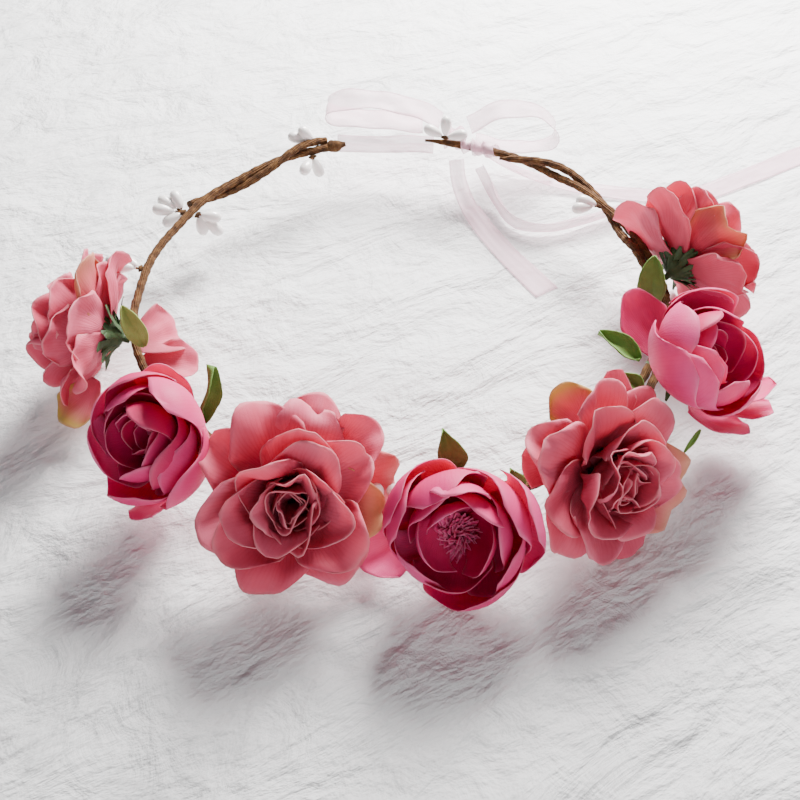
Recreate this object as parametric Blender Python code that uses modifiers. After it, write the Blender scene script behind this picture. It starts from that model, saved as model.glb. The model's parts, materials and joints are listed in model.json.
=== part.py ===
"""Flower crown: a wire-and-paper vine hoop, open at the back and closed by an organza bow,
carrying seven fabric flower heads, fabric leaves and sprigs of pearl pips.

Metres, +Z up. The origin is the middle of the hoop, on the table that the crown lies on.
-Y is the flowered front, and +X is on the right of someone who looks at the front.
"""

import math

import bmesh
import bpy
from mathutils import Matrix, Vector

# Hoop
HOOP_HALF_WIDTH = 0.088
HOOP_BACK_DEPTH = 0.090
HOOP_FRONT_DEPTH = 0.077
VINE_HEIGHT = 0.023  # centre line of the vine above the table, at the sides and the back
FRONT_DIP = 0.013  # how much lower the weighted front lies
GAP = 0.0003  # clearance between pieces that touch
STRAND_RADIUS = 0.0016
WIRE_RADIUS = 0.0005  # steel core of the paper-wrapped vine
WRAP_BORE = WIRE_RADIUS + GAP
STRAND_SPACING = 2 * STRAND_RADIUS + 0.0005  # centre to centre of two strands twisted together
SLEEVE_SIDES = 8

# Where things are on the hoop, in degrees counter-clockwise from +X
RIGHT_TIP = 84
RIGHT_SIDE_TIP = 64
SIDE_STRAND_END = -150
FLEX_POINT = -172  # the left arm flexes here
ARM_TIP = 108.5
ARM_SIDE_START = 147
TAPE_END = 104
TAPE_RADIUS = 0.0030
RIGHT_TWIST_START = 18  # in front of this the two strands lie side by side
RIGHT_TWIST_TURN = 34
ARM_TWIST_TURN = 30

# Flower heads
STEM_RADIUS = 0.0011
STEM_START = STRAND_RADIUS + 0.0007  # from the vine's centre line
CALYX_BASE = STEM_START + 0.0019
CALYX_LENGTH = 0.0036
CALYX_RADIUS = 0.0055
CALYX_DISH = 0.0012  # how deep the top of the cup is
PEG_RADIUS = 0.0012  # the peg that the petal layers are threaded on
HUB_RADIUS = PEG_RADIUS + 2 * GAP  # hole in each petal layer
PETAL_THICKNESS = 0.0008
LAYER_STEP = 2 * PETAL_THICKNESS  # from one petal layer's seat to the next
ROSE_LOBES = 7
RANUNCULUS_LOBES = 5
LOBE_DEPTH = 0.10
OPENING_DEGREES = 30  # how far above its middle a ranunculus is left open

# Leaves, pips and ribbon
LEAF_LENGTH = 0.016
LEAF_WIDTH = 0.0095
LEAF_THICKNESS = 0.0008
PIP_LENGTH = 0.0062
PIP_RADIUS = 0.0020
PIP_STEM_RADIUS = 0.0006
SPRIG_BEAD_RADIUS = 0.0011
RIBBON_WIDTH = 0.010
RIBBON_THICKNESS = 0.0006
TABLE_FACE = RIBBON_THICKNESS / 2  # middle of a ribbon that lies on the table
BOW_DEGREES = 77  # the bow is tied round the right tip here
WRAP_SPAN = (74, 66)  # degrees of the vine that the ribbon is wound round
WRAP_THICKNESS = 0.0009  # two turns of gathered ribbon
KNOT_HALF_LENGTH = 0.0048
KNOT_RADIUS = 0.0036
GATHERED_WIDTH = 0.006  # of a ribbon that stands on its edge

# name, kind, degrees round the hoop, facing azimuth, facing elevation, radius
HEADS = (
    ("rose_far_left", "rose", -166, 168, 11, 0.0255),
    ("ranunculus_left", "ranunculus", -138, 238, 38, 0.0190),
    ("rose_front_left", "rose", -111.5, 276, 44, 0.0280),
    ("ranunculus_front", "ranunculus", -78.5, 264, 33, 0.0205),
    ("rose_front_right", "rose", -55, -52, 30, 0.0270),
    ("ranunculus_right", "ranunculus", -24, -30, 50, 0.0195),
    ("rose_far_right", "rose", 6, 38, 14, 0.0265),
)

# name, degrees round the hoop, which side of the vine the root bead sits on (outward, up),
# then one (along, outward, up) end point for each pip, measured from the bead
SPRIGS = (
    ("pips_left", 170, (1, 0), ((0.002, 0.004, 0.000), (-0.001, 0.0075, 0.0005), (0.001, 0.011, 0.001))),
    (
        "pips_upper_left",
        150,
        (1, 0),
        ((0.000, 0.0085, 0.002), (-0.004, 0.008, 0.001), (0.003, 0.005, 0.003), (-0.004, 0.003, -0.002)),
    ),
    (
        "pips_hanging",
        148,
        (-1, -1),
        ((0.000, -0.001, -0.005), (0.004, -0.004, -0.002), (0.004, -0.005, -0.008)),
    ),
    ("pips_knot_left", 111, (1, 0.6), ((-0.008, 0.0035, 0.003), (-0.004, 0.002, 0.005))),
    ("pips_below_knot", 113, (-1, -0.6), ((0.001, -0.0015, -0.004), (-0.005, -0.005, -0.001))),
    (
        "pips_knot_right",
        79,
        (0, 1),
        ((-0.006, 0.001, 0.002), (0.000, 0.001, 0.0045), (0.006, 0.000, 0.002)),
    ),
    ("pips_right", 34, (-1, 0.3), ((-0.003, -0.003, 0.001), (-0.003, -0.007, 0.000))),
    ("pips_front", -94, (0, 1), ((0.001, -0.001, 0.005), (-0.003, -0.002, 0.0035))),
    ("pips_right_front", -36, (1, 0), ((-0.004, 0.006, 0.000), (0.000, 0.008, 0.001))),
)

# name, degrees round the hoop, (outward, up) of the base, way the tip points, way the face looks, scale
LEAVES = (
    ("leaf_far_left", -161.5, (-0.0024, 0.0035), (-0.19, 0.39, 0.9), (0.2, -0.75, 0.6), 0.9),
    ("leaf_left", -136, (-0.0090, 0.0054), (0.1, 0.5, 0.86), (0.6, -0.6, 0.4), 1.1),
    ("leaf_front", -78.5, (-0.0066, 0.0095), (-0.31, 0.28, 0.91), (0.1, -0.9, 0.4), 0.9),
    ("leaf_front_small", -67, (0.0028, 0.0055), (-0.52, 0.26, 0.82), (0, -0.8, 0.6), 0.45),
    ("leaf_far_right", -5.5, (-0.0061, 0.0039), (-0.02, 0.43, 0.9), (-0.4, -0.75, 0.6), 1.1),
    ("leaf_right", -24.5, (-0.0072, 0.0038), (-0.81, 0.55, 0.16), (0, -0.4, 0.92), 1.0),
    ("leaf_right_small", -31.5, (-0.0006, 0.0040), (-0.81, 0.43, 0.3), (0, -0.6, 0.8), 0.5),
    ("leaf_right_tip", -29, (0.0138, -0.0089), (0.1, -0.45, -0.75), (-0.2, -0.6, 0.5), 0.5),
)


def clear_scene():
    for item in list(bpy.data.objects):
        bpy.data.objects.remove(item)
    for group in list(bpy.data.collections):
        bpy.data.collections.remove(group)


def new_collection(name):
    group = bpy.data.collections.new(name)
    bpy.context.scene.collection.children.link(group)
    return group


def principled(name, color, roughness, metallic=0.0):
    material = bpy.data.materials.new(name)
    material.use_nodes = True
    shader = material.node_tree.nodes["Principled BSDF"]
    shader.inputs["Base Color"].default_value = (*color, 1.0)
    shader.inputs["Roughness"].default_value = roughness
    shader.inputs["Metallic"].default_value = metallic
    material.diffuse_color = (*color, 1.0)
    return material


def make_materials():
    return {
        "rose": principled("rose_petal", (0.62, 0.20, 0.22), 0.75),
        "ranunculus": principled("ranunculus_petal", (0.72, 0.10, 0.25), 0.70),
        "green": principled("calyx_green", (0.05, 0.09, 0.03), 0.70),
        "leaf": principled("leaf_green", (0.16, 0.22, 0.06), 0.80),
        "vine": principled("vine_paper", (0.20, 0.10, 0.045), 0.85),
        "wire": principled("steel_wire", (0.45, 0.45, 0.47), 0.35, 1.0),
        "pip": principled("pearl_pip", (0.85, 0.82, 0.78), 0.35),
        "ribbon": principled("organza", (0.93, 0.76, 0.79), 0.50),
    }


def add_object(name, data, group, material, parent=None):
    item = bpy.data.objects.new(name, data)
    group.objects.link(item)
    data.materials.append(material)
    item.parent = parent
    return item


def smooth(item, degrees=50):
    item.data.shade_smooth()
    item.data.set_sharp_from_angle(angle=math.radians(degrees))


def hoop_point(degrees, outward=0.0, up=0.0):
    """A point on the hoop, moved outward in its plane and up."""
    angle = math.radians(degrees)
    depth = HOOP_BACK_DEPTH if math.sin(angle) > 0 else HOOP_FRONT_DEPTH
    point = Vector((HOOP_HALF_WIDTH * math.cos(angle), depth * math.sin(angle), 0))
    normal = Vector((depth * math.cos(angle), HOOP_HALF_WIDTH * math.sin(angle), 0)).normalized()
    height = VINE_HEIGHT - FRONT_DIP * max(0.0, -math.sin(angle)) ** 2
    return point + normal * outward + Vector((0, 0, height + up))


def hoop_tangent(degrees):
    """Clockwise along the hoop, so that a turn about it by the right hand raises an outer piece."""
    return (hoop_point(degrees - 0.5) - hoop_point(degrees + 0.5)).normalized()


def tube(name, points, radius, group, material, parent=None, resolution=2):
    """A round bar along points, with filled ends."""
    curve = bpy.data.curves.new(name, "CURVE")
    curve.dimensions = "3D"
    curve.bevel_depth = radius
    curve.bevel_resolution = resolution
    curve.use_fill_caps = True
    spline = curve.splines.new("POLY")
    spline.points.add(len(points) - 1)
    for knot, point in zip(spline.points, points):
        knot.co = (*point, 1.0)
    return add_object(name, curve, group, material, parent)


def degrees_between(step, start, end):
    count = max(2, int(abs(end - start) / step) + 1)
    return [start + (end - start) * i / (count - 1) for i in range(count)]


def sleeve(name, points, outside, bore, group, material):
    """A hollow tube: rings of an outer and an inner circle, joined along the line and at both ends."""
    shell = bmesh.new()
    rings = []
    for index, point in enumerate(points):
        ahead = points[min(index + 1, len(points) - 1)] - points[max(index - 1, 0)]
        frame = ahead.to_track_quat("Z", "Y").to_matrix().to_4x4()
        for radius in (outside, bore):
            ring = bmesh.ops.create_circle(
                shell,
                segments=SLEEVE_SIDES,
                radius=radius,
                matrix=Matrix.Translation(point) @ frame,
            )["verts"]
            rings.append(ring)
    outer, inner = rings[0::2], rings[1::2]
    bridges = [(outer[0], inner[0]), (outer[-1], inner[-1])]
    bridges += list(zip(outer, outer[1:])) + list(zip(inner, inner[1:]))
    for first, second in bridges:
        for side in range(SLEEVE_SIDES):
            after = (side + 1) % SLEEVE_SIDES
            shell.faces.new((first[side], first[after], second[after], second[side]))
    bmesh.ops.recalc_face_normals(shell, faces=shell.faces)
    data = bpy.data.meshes.new(name)
    shell.to_mesh(data)
    shell.free()
    item = add_object(name, data, group, material)
    smooth(item)
    return item


def twist_offset(degrees, start, turn_degrees):
    """(outward, up) of a second strand that starts on the inner side and winds once in turn_degrees."""
    angle = math.pi * (1 + 2 * max(0.0, degrees - start) / turn_degrees)
    return STRAND_SPACING * math.cos(angle), STRAND_SPACING * math.sin(angle)


def make_vine(group, materials):
    main = [hoop_point(a) for a in degrees_between(6, RIGHT_TIP, FLEX_POINT)]
    sleeve("front_vine_wrap", main, STRAND_RADIUS, WRAP_BORE, group, materials["vine"])
    tube("front_vine_wire", main, WIRE_RADIUS, group, materials["wire"], resolution=1)
    side = []
    for a in degrees_between(5, RIGHT_SIDE_TIP, SIDE_STRAND_END):
        outward, up = twist_offset(a, RIGHT_TWIST_START, RIGHT_TWIST_TURN)
        side.append(hoop_point(a, outward, up))
    tube("front_side_strand", side, STRAND_RADIUS, group, materials["vine"])

    flex_gap = math.degrees(2 * GAP / HOOP_HALF_WIDTH)
    arm = [hoop_point(a) for a in degrees_between(6, FLEX_POINT + 360 - flex_gap, ARM_TIP)]
    sleeve("arm_vine_wrap", arm, STRAND_RADIUS, WRAP_BORE, group, materials["vine"])
    tube("arm_vine_wire", arm, WIRE_RADIUS, group, materials["wire"], resolution=1)
    side = []
    for a in degrees_between(4, ARM_SIDE_START, ARM_TIP):
        outward, up = twist_offset(ARM_SIDE_START - a, 0, ARM_TWIST_TURN)
        side.append(hoop_point(a, -outward, up))
    tube("arm_side_strand", side, STRAND_RADIUS, group, materials["vine"])
    make_tape("arm_end_tape", ARM_TIP, TAPE_END, group, materials["vine"])


def make_tape(name, start, end, group, material):
    """The taped tip past the ends of the strands: a blunt spindle on the hoop's line."""
    first, last = hoop_point(start - 0.3), hoop_point(end)
    length = (last - first).length
    profile = (
        (0, length),
        (TAPE_RADIUS * 0.75, length * 0.92),
        (TAPE_RADIUS, length * 0.55),
        (TAPE_RADIUS * 0.87, length * 0.05),
        (0, 0),
    )
    item = turned(name, profile, 12, group, material)
    turn = (last - first).to_track_quat("Z", "Y").to_matrix().to_4x4()
    item.matrix_world = Matrix.Translation(first) @ turn
    return item


def turned(name, profile, steps, group, material, parent=None):
    """A closed turned solid: profile points (radius, height) run from the top to the bottom."""
    data = bpy.data.meshes.new(name)
    outline = bmesh.new()
    verts = [outline.verts.new((radius, 0, height)) for radius, height in profile]
    for first, second in zip(verts, verts[1:]):
        outline.edges.new((first, second))
    outline.to_mesh(data)
    outline.free()
    item = add_object(name, data, group, material, parent)
    screw = item.modifiers.new("turn", "SCREW")
    screw.steps = steps
    screw.render_steps = steps
    screw.use_merge_vertices = True
    screw.merge_threshold = 0.00001
    return item


def petal_layer(name, profile, lobes, segments, group, material, parent):
    """A lobed petal layer: an open profile (radius, height) from hub to rim, spun and thickened."""
    shell = bmesh.new()
    verts = [shell.verts.new((radius, 0, height)) for radius, height in profile]
    edges = [shell.edges.new(pair) for pair in zip(verts, verts[1:])]
    bmesh.ops.spin(
        shell,
        geom=verts + edges,
        cent=(0, 0, 0),
        axis=(0, 0, 1),
        angle=2 * math.pi,
        steps=segments,
        use_merge=True,
    )
    bmesh.ops.remove_doubles(shell, verts=shell.verts, dist=1e-6)
    low, high = profile[0][1], max(height for _, height in profile)
    for vert in shell.verts:
        around = math.atan2(vert.co.y, vert.co.x)
        share = (vert.co.z - low) / (high - low)
        scale = 1 - LOBE_DEPTH * share * share * (0.5 - 0.5 * math.cos(lobes * around))
        vert.co.x *= scale
        vert.co.y *= scale
    bmesh.ops.recalc_face_normals(shell, faces=shell.faces)
    data = bpy.data.meshes.new(name)
    shell.to_mesh(data)
    shell.free()
    item = add_object(name, data, group, material, parent)
    thick = item.modifiers.new("thickness", "SOLIDIFY")
    thick.thickness = PETAL_THICKNESS
    thick.offset = 0
    smooth(item)
    return item


def bowl(rim_radius, hub_height, depth, power, points=4):
    """Profile of an open bowl whose side steepens towards its rim."""
    shares = [i / (points - 1) for i in range(points)]
    return [
        (HUB_RADIUS + (rim_radius - HUB_RADIUS) * u, hub_height + depth * u**power)
        for u in shares
    ]


def globe(radius, half_height, middle, opening_degrees, points=5):
    """Profile of a globe, from its hub up round its side to the opening."""
    start = math.degrees(math.acos(HUB_RADIUS / radius))
    angles = [math.radians(-start + (start + opening_degrees) * i / (points - 1)) for i in range(points)]
    return [(radius * math.cos(a), middle + half_height * math.sin(a)) for a in angles]


def bud(radius, bottom, top, points=6):
    """Closed egg profile, top to bottom, widest above its middle."""
    profile = [(0.0, top)]
    for i in range(1, points - 1):
        share = i / (points - 1)
        angle = math.pi * share
        height = bottom + (top - bottom) * (1 + math.cos(angle)) / 2
        profile.append((radius * math.sin(angle) * (1 - 0.25 * share), height))
    profile.append((0.0, bottom))
    return profile


def make_calyx(name, group, material, parent, peg_top):
    """Stem, calyx cup and the peg that carries the petal layers, in one piece."""
    cup_top = CALYX_BASE + CALYX_LENGTH
    profile = (
        (0, peg_top),
        (PEG_RADIUS, peg_top),
        (PEG_RADIUS, cup_top - CALYX_DISH),
        (CALYX_RADIUS * 0.87, cup_top),
        (CALYX_RADIUS, cup_top - CALYX_DISH / 3),
        (CALYX_RADIUS * 0.65, CALYX_BASE + CALYX_DISH / 2),
        (STEM_RADIUS, CALYX_BASE),
        (STEM_RADIUS, STEM_START),
        (0, STEM_START),
    )
    return turned(name + "_calyx", profile, 8, group, material, parent)


def make_rose(name, radius, group, materials, parent):
    base = CALYX_BASE + CALYX_LENGTH + PETAL_THICKNESS
    outer_depth = radius * 0.34
    inner_radius = radius * 0.72
    inner_depth = radius * 0.52
    core_bottom = base + LAYER_STEP * 2.2
    make_calyx(name, group, materials["green"], parent, core_bottom - GAP)
    petal_layer(
        name + "_outer_petals",
        bowl(radius, base, outer_depth, 1.6),
        ROSE_LOBES,
        ROSE_LOBES * 4,
        group,
        materials["rose"],
        parent,
    )
    petal_layer(
        name + "_inner_petals",
        bowl(inner_radius, base + LAYER_STEP, inner_depth, 1.8),
        ROSE_LOBES,
        ROSE_LOBES * 3,
        group,
        materials["rose"],
        parent,
    )
    core = bud(radius * 0.36, core_bottom, base + LAYER_STEP + inner_depth)
    smooth(turned(name + "_core", core, 10, group, materials["rose"], parent))


def make_ranunculus(name, radius, group, materials, parent):
    base = CALYX_BASE + CALYX_LENGTH + PETAL_THICKNESS
    half_height = radius * 0.62
    middle = base + half_height
    wall_step = LAYER_STEP + 0.0010
    core_bottom = base + 2 * wall_step
    make_calyx(name, group, materials["green"], parent, core_bottom - GAP)
    petal_layer(
        name + "_outer_petals",
        globe(radius, half_height, middle, OPENING_DEGREES),
        RANUNCULUS_LOBES,
        RANUNCULUS_LOBES * 4,
        group,
        materials["ranunculus"],
        parent,
    )
    inner_half_height = half_height - wall_step * 0.5
    inner_middle = middle + wall_step * 0.5
    petal_layer(
        name + "_inner_petals",
        globe(radius - wall_step * 1.4, inner_half_height, inner_middle, OPENING_DEGREES + 15),
        RANUNCULUS_LOBES,
        RANUNCULUS_LOBES * 4,
        group,
        materials["ranunculus"],
        parent,
    )
    core = bud(radius * 0.55, core_bottom, middle + half_height * 0.7)
    smooth(turned(name + "_core", core, 10, group, materials["ranunculus"], parent))


def make_heads(group, materials):
    builders = {"rose": make_rose, "ranunculus": make_ranunculus}
    for name, kind, degrees, azimuth, elevation, radius in HEADS:
        pivot = bpy.data.objects.new(name + "_pivot", None)
        group.objects.link(pivot)
        facing = Vector((1, 0, 0))
        facing.rotate(Matrix.Rotation(math.radians(-elevation), 3, "Y"))
        facing.rotate(Matrix.Rotation(math.radians(azimuth), 3, "Z"))
        turn = facing.to_track_quat("Z", "Y").to_matrix().to_4x4()
        pivot.matrix_world = Matrix.Translation(hoop_point(degrees)) @ turn
        builders[kind](name, radius, group, materials, pivot)


def hoop_frame(degrees, outward, up):
    """A point beside the vine, with its along, outward and up directions."""
    place = hoop_point(degrees, outward, up)
    along = hoop_tangent(degrees)
    out = (hoop_point(degrees, 0.001) - hoop_point(degrees)).normalized()
    return place, along, out


def union_into(item, other, helpers):
    step = item.modifiers.new("join_" + other.name, "BOOLEAN")
    step.operation = "UNION"
    step.object = other
    for group in other.users_collection:
        group.objects.unlink(other)
    helpers.objects.link(other)
    other.hide_render = True
    other.display_type = "WIRE"


def ball(name, center, axis, half_length, radius, group, material):
    """An egg-shaped bead, longer along axis."""
    shell = bmesh.new()
    bmesh.ops.create_uvsphere(shell, u_segments=8, v_segments=5, radius=1.0)
    for vert in shell.verts:
        vert.co = Vector((vert.co.x * radius, vert.co.y * radius, vert.co.z * half_length))
    turn = axis.to_track_quat("Z", "Y").to_matrix().to_4x4()
    shell.transform(Matrix.Translation(center) @ turn)
    data = bpy.data.meshes.new(name)
    shell.to_mesh(data)
    shell.free()
    item = add_object(name, data, group, material)
    smooth(item)
    return item


def pip_profile(reach):
    """A thin stem from the root that swells into a pearl pip, top to bottom."""
    top = reach + PIP_LENGTH / 2
    return (
        (0, top),
        (PIP_RADIUS * 0.62, top - PIP_LENGTH * 0.10),
        (PIP_RADIUS, top - PIP_LENGTH * 0.36),
        (PIP_RADIUS * 0.86, top - PIP_LENGTH * 0.62),
        (PIP_STEM_RADIUS * 1.2, top - PIP_LENGTH),
        (PIP_STEM_RADIUS, top - PIP_LENGTH * 1.15),
        (PIP_STEM_RADIUS, 0),
        (0, 0),
    )


def make_sprigs(group, helpers, materials):
    """Each sprig: a root bead beside the vine, and stems from it that end in pearl pips."""
    for name, degrees, side, ends in SPRIGS:
        reach = STRAND_RADIUS + GAP + SPRIG_BEAD_RADIUS
        reach /= math.hypot(*side)
        root, along, out = hoop_frame(degrees, side[0] * reach, side[1] * reach)
        sprig = ball(name, root, along, SPRIG_BEAD_RADIUS, SPRIG_BEAD_RADIUS, group, materials["pip"])
        for number, (forward, outward, up) in enumerate(ends):
            way = along * forward + out * outward + Vector((0, 0, up))
            profile = pip_profile(way.length)
            pip = turned(f"{name}_{number}", profile, 6, group, materials["pip"])
            turn = way.to_track_quat("Z", "Y").to_matrix().to_4x4()
            pip.matrix_world = Matrix.Translation(root) @ turn
            union_into(sprig, pip, helpers)


def make_leaves(group, materials):
    """Each leaf: a pointed oval blade, cupped a little along its rib."""
    rows, columns = 6, 4
    for name, degrees, beside, tip_way, face_way, scale in LEAVES:
        shell = bmesh.new()
        bmesh.ops.create_grid(shell, x_segments=rows, y_segments=columns, size=0.5)
        for vert in shell.verts:
            share = vert.co.x + 0.5
            side = vert.co.y * 2
            half_width = LEAF_WIDTH / 2 * (0.12 + 0.88 * math.sin(math.pi * share**0.85))
            cup = 0.0012 * side * side + 0.0015 * math.sin(math.pi * share)
            vert.co = Vector((share * LEAF_LENGTH, side * half_width, cup)) * scale
        along = Vector(tip_way).normalized()
        normal = Vector(face_way)
        normal = (normal - along * normal.dot(along)).normalized()
        across = normal.cross(along)
        turn = Matrix((along, across, normal)).transposed().to_4x4()
        shell.transform(Matrix.Translation(hoop_point(degrees, *beside)) @ turn)
        data = bpy.data.meshes.new(name)
        shell.to_mesh(data)
        shell.free()
        item = add_object(name, data, group, materials["leaf"])
        thick = item.modifiers.new("thickness", "SOLIDIFY")
        thick.thickness = LEAF_THICKNESS
        thick.offset = 0
        smooth(item)


def smooth_path(points, steps):
    """Points on a Catmull-Rom curve through the given ones."""
    knots = [Vector(p) for p in points]
    knots = [knots[0] * 2 - knots[1]] + knots + [knots[-1] * 2 - knots[-2]]
    made = []
    for a, b, c, d in zip(knots, knots[1:], knots[2:], knots[3:]):
        for i in range(steps):
            t = i / steps
            bend = (2 * a - 5 * b + 4 * c - d) * t**2 + (3 * b - a - 3 * c + d) * t**3
            made.append((2 * b + (c - a) * t + bend) / 2)
    made.append(knots[-2])
    return made


def strip(name, points, across, group, material, width=RIBBON_WIDTH, steps=3):
    """A ribbon along points. across holds the way its width points at the first and the last point."""
    path = smooth_path(points, steps)
    first, last = (Vector(way) for way in across)
    shell = bmesh.new()
    rows = []
    for i, point in enumerate(path):
        ahead = path[min(i + 1, len(path) - 1)] - path[max(i - 1, 0)]
        way = first.lerp(last, i / (len(path) - 1))
        way = (way - ahead * (way.dot(ahead) / ahead.length_squared)).normalized() * width / 2
        rows.append((shell.verts.new(point - way), shell.verts.new(point + way)))
    for (a, b), (c, d) in zip(rows, rows[1:]):
        shell.faces.new((a, b, d, c))
    data = bpy.data.meshes.new(name)
    shell.to_mesh(data)
    shell.free()
    item = add_object(name, data, group, material)
    thick = item.modifiers.new("thickness", "SOLIDIFY")
    thick.thickness = RIBBON_THICKNESS
    thick.offset = 0
    return item


def from_bow(points):
    """Points given from the place on the vine where the bow is tied."""
    bow = hoop_point(BOW_DEGREES)
    return [bow + Vector(point) for point in points]


def down_to_table(points):
    """Points given as (x, y) from the bow and a share of the bow's height; 0 lies on the table."""
    bow = hoop_point(BOW_DEGREES)
    return [Vector((bow.x + x, bow.y + y, max(TABLE_FACE, bow.z * share))) for x, y, share in points]


def make_bow(group, ribbon):
    left_loop = (
        (-0.0043, 0.0098, 0.0035),
        (-0.0168, 0.0123, 0.0085),
        (-0.0348, 0.0128, 0.0115),
        (-0.0473, 0.0123, 0.0095),
        (-0.0463, 0.0123, 0.0045),
        (-0.0318, 0.0123, 0.0025),
        (-0.0113, 0.0123, 0.0005),
    )
    strip("bow_loop_left", from_bow(left_loop), ((0, 1, 0.2), (0, 1, 0.2)), group, ribbon)
    right_loop = (
        (0.0067, 0.0098, 0.0015),
        (0.0182, 0.0113, 0.0075),
        (0.0312, 0.0113, 0.0075),
        (0.0402, 0.0098, 0.0015),
        (0.0382, 0.0073, -0.0050),
        (0.0242, 0.0073, -0.0065),
        (0.0092, 0.0093, -0.0045),
    )
    strip("bow_loop_right", from_bow(right_loop), ((0, 1, 0.2), (0, 1, -0.2)), group, ribbon)


def make_tails(group, ribbon):
    short_tail = (
        (0.0017, 0.0008, 0.652),
        (0.0027, -0.0037, 0.391),
        (0.0057, -0.0107, 0.152),
        (0.0102, -0.0197, 0.043),
        (0.0172, -0.0332, 0.000),
        (0.0252, -0.0467, 0.000),
        (0.0332, -0.0592, 0.000),
    )
    across = ((1, 0.4, 0), (0.86, 0.52, 0))
    strip("ribbon_tail_short", down_to_table(short_tail), across, group, ribbon)
    middle_tail = (
        (0.0107, -0.0007, 0.543),
        (0.0152, -0.0082, 0.304),
        (0.0212, -0.0212, 0.183),
        (0.0302, -0.0277, 0.196),
        (0.0422, -0.0262, 0.196),
        (0.0562, -0.0202, 0.196),
        (0.0692, -0.0142, 0.196),
    )
    across = ((0.3, 0.3, 1), (0, -0.3, 1))
    strip("ribbon_tail_middle", down_to_table(middle_tail), across, group, ribbon, GATHERED_WIDTH)
    long_tail = (
        (0.0122, 0.0108, 0.543),
        (0.0242, 0.0083, 0.261),
        (0.0382, 0.0043, 0.109),
        (0.0542, 0.0003, 0.043),
        (0.0762, -0.0027, 0.000),
        (0.0962, -0.0027, 0.000),
        (0.1182, 0.0083, 0.000),
        (0.1402, 0.0213, 0.000),
        (0.1522, 0.0278, 0.000),
    )
    strip("ribbon_tail_long", down_to_table(long_tail), ((0, 1, 0), (-0.4, 0.9, 0)), group, ribbon)


def make_ribbon(group, materials):
    """The ribbon is wound and knotted round the right tip; the bridge ties it to the left one."""
    ribbon = materials["ribbon"]
    wound = [hoop_point(a) for a in degrees_between(2, *WRAP_SPAN)]
    bore = STRAND_RADIUS + GAP
    sleeve("ribbon_wrap", wound, bore + WRAP_THICKNESS, bore, group, ribbon)
    knot_place, along, out = hoop_frame(BOW_DEGREES, STRAND_RADIUS + KNOT_RADIUS + 0.0010, -0.0010)
    ball("ribbon_knot", knot_place, along, KNOT_HALF_LENGTH, KNOT_RADIUS, group, ribbon)
    beside = STRAND_RADIUS + GAP + RIBBON_THICKNESS
    left_end = hoop_point(TAPE_END + 1.6, TAPE_RADIUS + RIBBON_THICKNESS, -0.0015)
    bridge = [left_end]
    for a in (96, 88, 82):
        bridge.append(hoop_point(a, beside, -0.0035))
    strip("ribbon_bridge", bridge, ((0, 0, 1), (0, 0, 1)), group, ribbon, GATHERED_WIDTH)
    make_bow(group, ribbon)
    make_tails(group, ribbon)


def main():
    clear_scene()
    crown = new_collection("flower_crown")
    helpers = new_collection("joined_shapes")
    helpers.hide_render = True
    materials = make_materials()
    make_vine(crown, materials)
    make_heads(crown, materials)
    make_sprigs(crown, helpers, materials)
    make_leaves(crown, materials)
    make_ribbon(crown, materials)


main()
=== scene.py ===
import json
import math
import random

import bmesh
import bpy
from mathutils import Matrix, Vector, noise
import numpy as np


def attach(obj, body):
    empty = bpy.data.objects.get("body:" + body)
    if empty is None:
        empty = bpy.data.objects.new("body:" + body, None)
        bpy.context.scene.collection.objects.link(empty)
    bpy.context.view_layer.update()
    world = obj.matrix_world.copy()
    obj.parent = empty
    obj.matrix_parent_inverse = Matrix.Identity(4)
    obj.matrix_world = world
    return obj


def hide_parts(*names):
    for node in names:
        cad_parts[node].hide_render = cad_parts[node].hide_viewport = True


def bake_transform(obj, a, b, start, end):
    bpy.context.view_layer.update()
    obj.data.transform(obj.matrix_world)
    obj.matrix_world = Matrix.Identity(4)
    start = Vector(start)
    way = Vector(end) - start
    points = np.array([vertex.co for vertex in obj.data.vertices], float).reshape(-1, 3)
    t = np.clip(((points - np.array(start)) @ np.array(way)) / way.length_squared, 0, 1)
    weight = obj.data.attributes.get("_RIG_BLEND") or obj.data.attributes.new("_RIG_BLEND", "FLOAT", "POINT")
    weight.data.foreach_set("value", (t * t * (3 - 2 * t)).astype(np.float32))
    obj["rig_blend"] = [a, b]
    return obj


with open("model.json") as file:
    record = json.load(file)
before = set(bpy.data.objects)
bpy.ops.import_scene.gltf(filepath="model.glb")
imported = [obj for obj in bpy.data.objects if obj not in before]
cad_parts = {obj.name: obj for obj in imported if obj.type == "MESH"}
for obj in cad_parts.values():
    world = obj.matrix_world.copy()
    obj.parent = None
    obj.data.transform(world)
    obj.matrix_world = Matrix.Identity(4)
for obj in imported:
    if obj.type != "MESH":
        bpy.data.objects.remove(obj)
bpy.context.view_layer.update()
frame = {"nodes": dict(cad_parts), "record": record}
bodyOf = {node: body for body, nodes in frame["record"]["behaviour"]["bodies"].items() for node in nodes}


# Small helpers

def mix(a, b, share):
    return a + (b - a) * share


def smoothStep(low, high, value):
    share = min(1.0, max(0.0, (value - low) / (high - low)))
    return share * share * (3 - 2 * share)


def meshPiece(name, shell, materials, thickness=0.0):
    mesh = bpy.data.meshes.new(name)
    shell.to_mesh(mesh)
    shell.free()
    piece = bpy.data.objects.new(name, mesh)
    bpy.context.scene.collection.objects.link(piece)
    for material in materials:
        mesh.materials.append(material)
    mesh.shade_smooth()
    if thickness:
        wall = piece.modifiers.new("thickness", "SOLIDIFY")
        wall.thickness = thickness
        wall.offset = 0
    return piece


def spinRound(shell, profile, sides):
    bmesh.ops.spin(
        shell,
        geom=profile,
        cent=(0, 0, 0),
        axis=(0, 0, 1),
        angle=2 * math.pi,
        steps=sides,
        use_merge=True,
    )


def standFor(piece, slotName, *nodes):
    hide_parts(*nodes)
    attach(piece, bodyOf[nodes[0]])


# The hoop's line, which every part hangs on

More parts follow.
